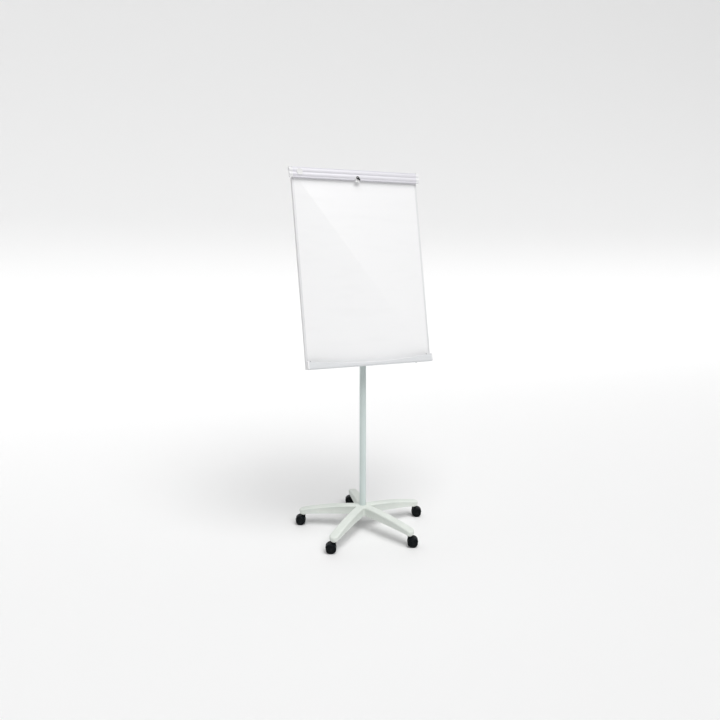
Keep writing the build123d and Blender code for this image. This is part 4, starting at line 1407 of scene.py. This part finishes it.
@dataclass(frozen=True)
class PenTray:
    """Extruded tray under the board with a lip scooped lower in the middle, and flat end caps."""

    half: float = 342.0
    end: float = 350.0
    reach: float = 30.0
    corner: float = 10.0
    wall: float = 2.2
    back: float = 1.2
    back_height: float = 16.0
    lip_middle: float = 18.5
    lip_end: float = 42.5

    def section(self, height: float) -> np.ndarray:
        """Section of the tray at one lip height: back, floor, round corner and leaning lip.

        Args:
            height: top of the lip.

        Returns:
            Points of (out, up), the same number at every height.
        """
        lean = 2.0 * (height - self.corner) / (self.lip_end - self.corner)
        outer, inner = self.reach - lean, self.reach - self.wall - lean
        bead = 0.5
        back_inner = self.back + self.wall
        corners = [
            (self.back, self.back_height), (self.back, 0.0), (self.reach, 0.0),
            (outer + bead / 2, height - 3.2), (outer + bead, height - 2.6), (outer + bead, height),
            (inner, height), (self.reach - self.wall, self.wall), (back_inner, self.wall),
            (back_inner, self.back_height),
        ]
        radii = [0.5, 0.5, self.corner, 0.2, 0.4, 0.8, 0.8, self.corner - self.wall, 0.8, 0.5]
        return rounded(corners, radii, 5)

    def build(self) -> None:
        """Make the tray, its caps and its screws."""
        x = np.concatenate([[-self.half], np.linspace(-self.half + 0.3, self.half - 0.3, 61), [self.half]])
        lip = self.lip_middle + (self.lip_end - self.lip_middle) * (x / self.end) ** 2
        rings = np.stack([self.section(height) for height in lip])
        rings[[0, -1]] = np.stack([inset(rings[0], [0.25])[0], inset(rings[-1], [0.25])[0]])
        across = np.broadcast_to(x[:, None, None], rings.shape[:2] + (1,))
        shells = Shells().grid(SECTION.put(np.concatenate([rings, across], axis=2)))
        fit(shells.piece("tray_profile", TRAY_METAL, 24), "board", "tray_aluminium", "pen_tray")

        caps = Shells()
        reach = self.reach + 0.8
        plate = rounded(
            [(self.back, 0.0), (reach, 0.0), (reach - 2.0, self.lip_end), (self.back, self.lip_end)],
            [1.0, self.corner, 2.0, 1.0], 6)
        for side in Side:
            across = Place(SECTION.origin, SECTION.x, SECTION.y, SECTION.z * side.value)
            caps.bar(across, plate, self.half, self.end, 0.9)
        fit(caps.piece("tray_caps", CAP_PLASTIC, 30), "board", "cap_plastic", "tray_end_caps")

        screws = Shells()
        for side in Side:
            screw_head(screws, ON_BOARD.shifted(side.value * 327.0, self.lip_end - 0.5), 3.6, 1.4)
        under = ON_BOARD.shifted(255.0, 0.0, 14.0)
        screw_head(screws, Place(under.origin, under.x, under.z, -under.y), 4.0, 3.4)
        fit(screws.piece("tray_screw_heads", STEEL), "board", "steel", "tray_screws")


# ---- Stage --------------------------------------------------------------------------------


@dataclass(frozen=True)
class Stage:
    """Pale seamless floor, soft studio light and the camera."""

    eye: tuple[float, float, float] = (-1.298, -3.0055, 1.4818)
    look: tuple[float, float, float] = (0.38708, 0.90762, -0.16242)
    lens: float = 31.2
    paleness: float = 0.88
    fill: float = 0.24

    def floor(self) -> None:
        """Lay the floor, which rises behind the easel into a tall backdrop."""
        turn = np.radians(np.linspace(0, 90, 13))
        run = np.concatenate([[-9.0], 4.0 + 2.0 * np.sin(turn), [6.0]])
        rise = np.concatenate([[0.0], 2.0 - 2.0 * np.cos(turn), [7.0]])
        side = np.array([-20.0, 20.0])
        across = np.broadcast_to(side[:, None], (2, len(run)))
        grid = np.stack([across, np.tile(run, (2, 1)), np.tile(rise, (2, 1))], -1)
        index = np.arange(2 * len(run)).reshape(2, -1)
        quads = np.stack([index[0, :-1], index[1, :-1], index[1, 1:], index[0, 1:]], -1)
        mesh = bpy.data.meshes.new("floor")
        mesh.from_pydata(grid.reshape(-1, 3), [], quads.tolist())
        mesh.shade_smooth()
        made = bpy.data.materials.new("Pale floor")
        made.use_nodes = True
        shader = made.node_tree.nodes["Principled BSDF"]
        shader.inputs["Base Color"].default_value = (self.paleness,) * 3 + (1.0,)
        shader.inputs["Roughness"].default_value = 0.7
        mesh.materials.append(made)
        floor = bpy.data.objects.new("floor", mesh)
        bpy.context.scene.collection.objects.link(floor)

    def lamp(self, name: str, azimuth: float, height: float, strength: float, spread: float) -> None:
        """Add a broad distant light.

        Args:
            name: its name.
            azimuth: degrees round from the board's front, positive to the viewer's right.
            height: degrees above the horizon.
            strength: irradiance in watts per square metre.
            spread: its angular size in degrees.
        """
        data = bpy.data.lights.new(name, "SUN")
        data.energy = strength
        data.angle = math.radians(spread)
        made = bpy.data.objects.new(name, data)
        turn, rise = math.radians(azimuth), math.radians(height)
        level = math.cos(rise)
        towards = mathutils.Vector((math.sin(turn) * level, -math.cos(turn) * level, math.sin(rise)))
        made.rotation_euler = towards.to_track_quat("Z", "Y").to_euler()
        bpy.context.scene.collection.objects.link(made)

    def camera(self) -> None:
        """Set the camera, level and without shift."""
        data = bpy.data.cameras.new("camera")
        data.sensor_width = 36.0
        data.lens = self.lens
        made = bpy.data.objects.new("camera", data)
        made.location = self.eye
        made.rotation_euler = mathutils.Vector(self.look).to_track_quat("-Z", "Y").to_euler()
        bpy.context.scene.collection.objects.link(made)
        bpy.context.scene.camera = made

    def build(self) -> None:
        """Set the stage."""
        self.floor()
        self.lamp("key", azimuth=4.0, height=60.0, strength=2.6, spread=50.0)
        world = bpy.data.worlds.new("studio")
        world.use_nodes = True
        world.node_tree.nodes["Background"].inputs["Color"].default_value = (1.0, 1.0, 1.0, 1.0)
        world.node_tree.nodes["Background"].inputs["Strength"].default_value = self.fill
        bpy.context.scene.world = world
        bpy.context.scene.view_settings.view_transform = "Standard"
        self.camera()


# ---- The whole easel ----------------------------------------------------------------------


def base_from_frame() -> StarBase:
    """Star base sized from the first castor's stem."""
    x, y = JOINTS["castor_1_swivel"]["pos_m"][:2]
    return StarBase(first_arm=math.degrees(math.atan2(y, x)), reach=math.hypot(x, y) / MM)


def main() -> None:
    """Make every piece, dress the CAD pieces that stay in view, and set the stage."""
    logging.basicConfig(level=logging.INFO, format="%(name)s: %(message)s")
    base_from_frame().build()
    for index in range(1, 6):
        Castor(index).build()
    Column().build()
    Board().build()
    TiltHead().build()
    ClampRail().build()
    PenTray().build()
    Stage().build()


if __name__ == "__main__":
    main()
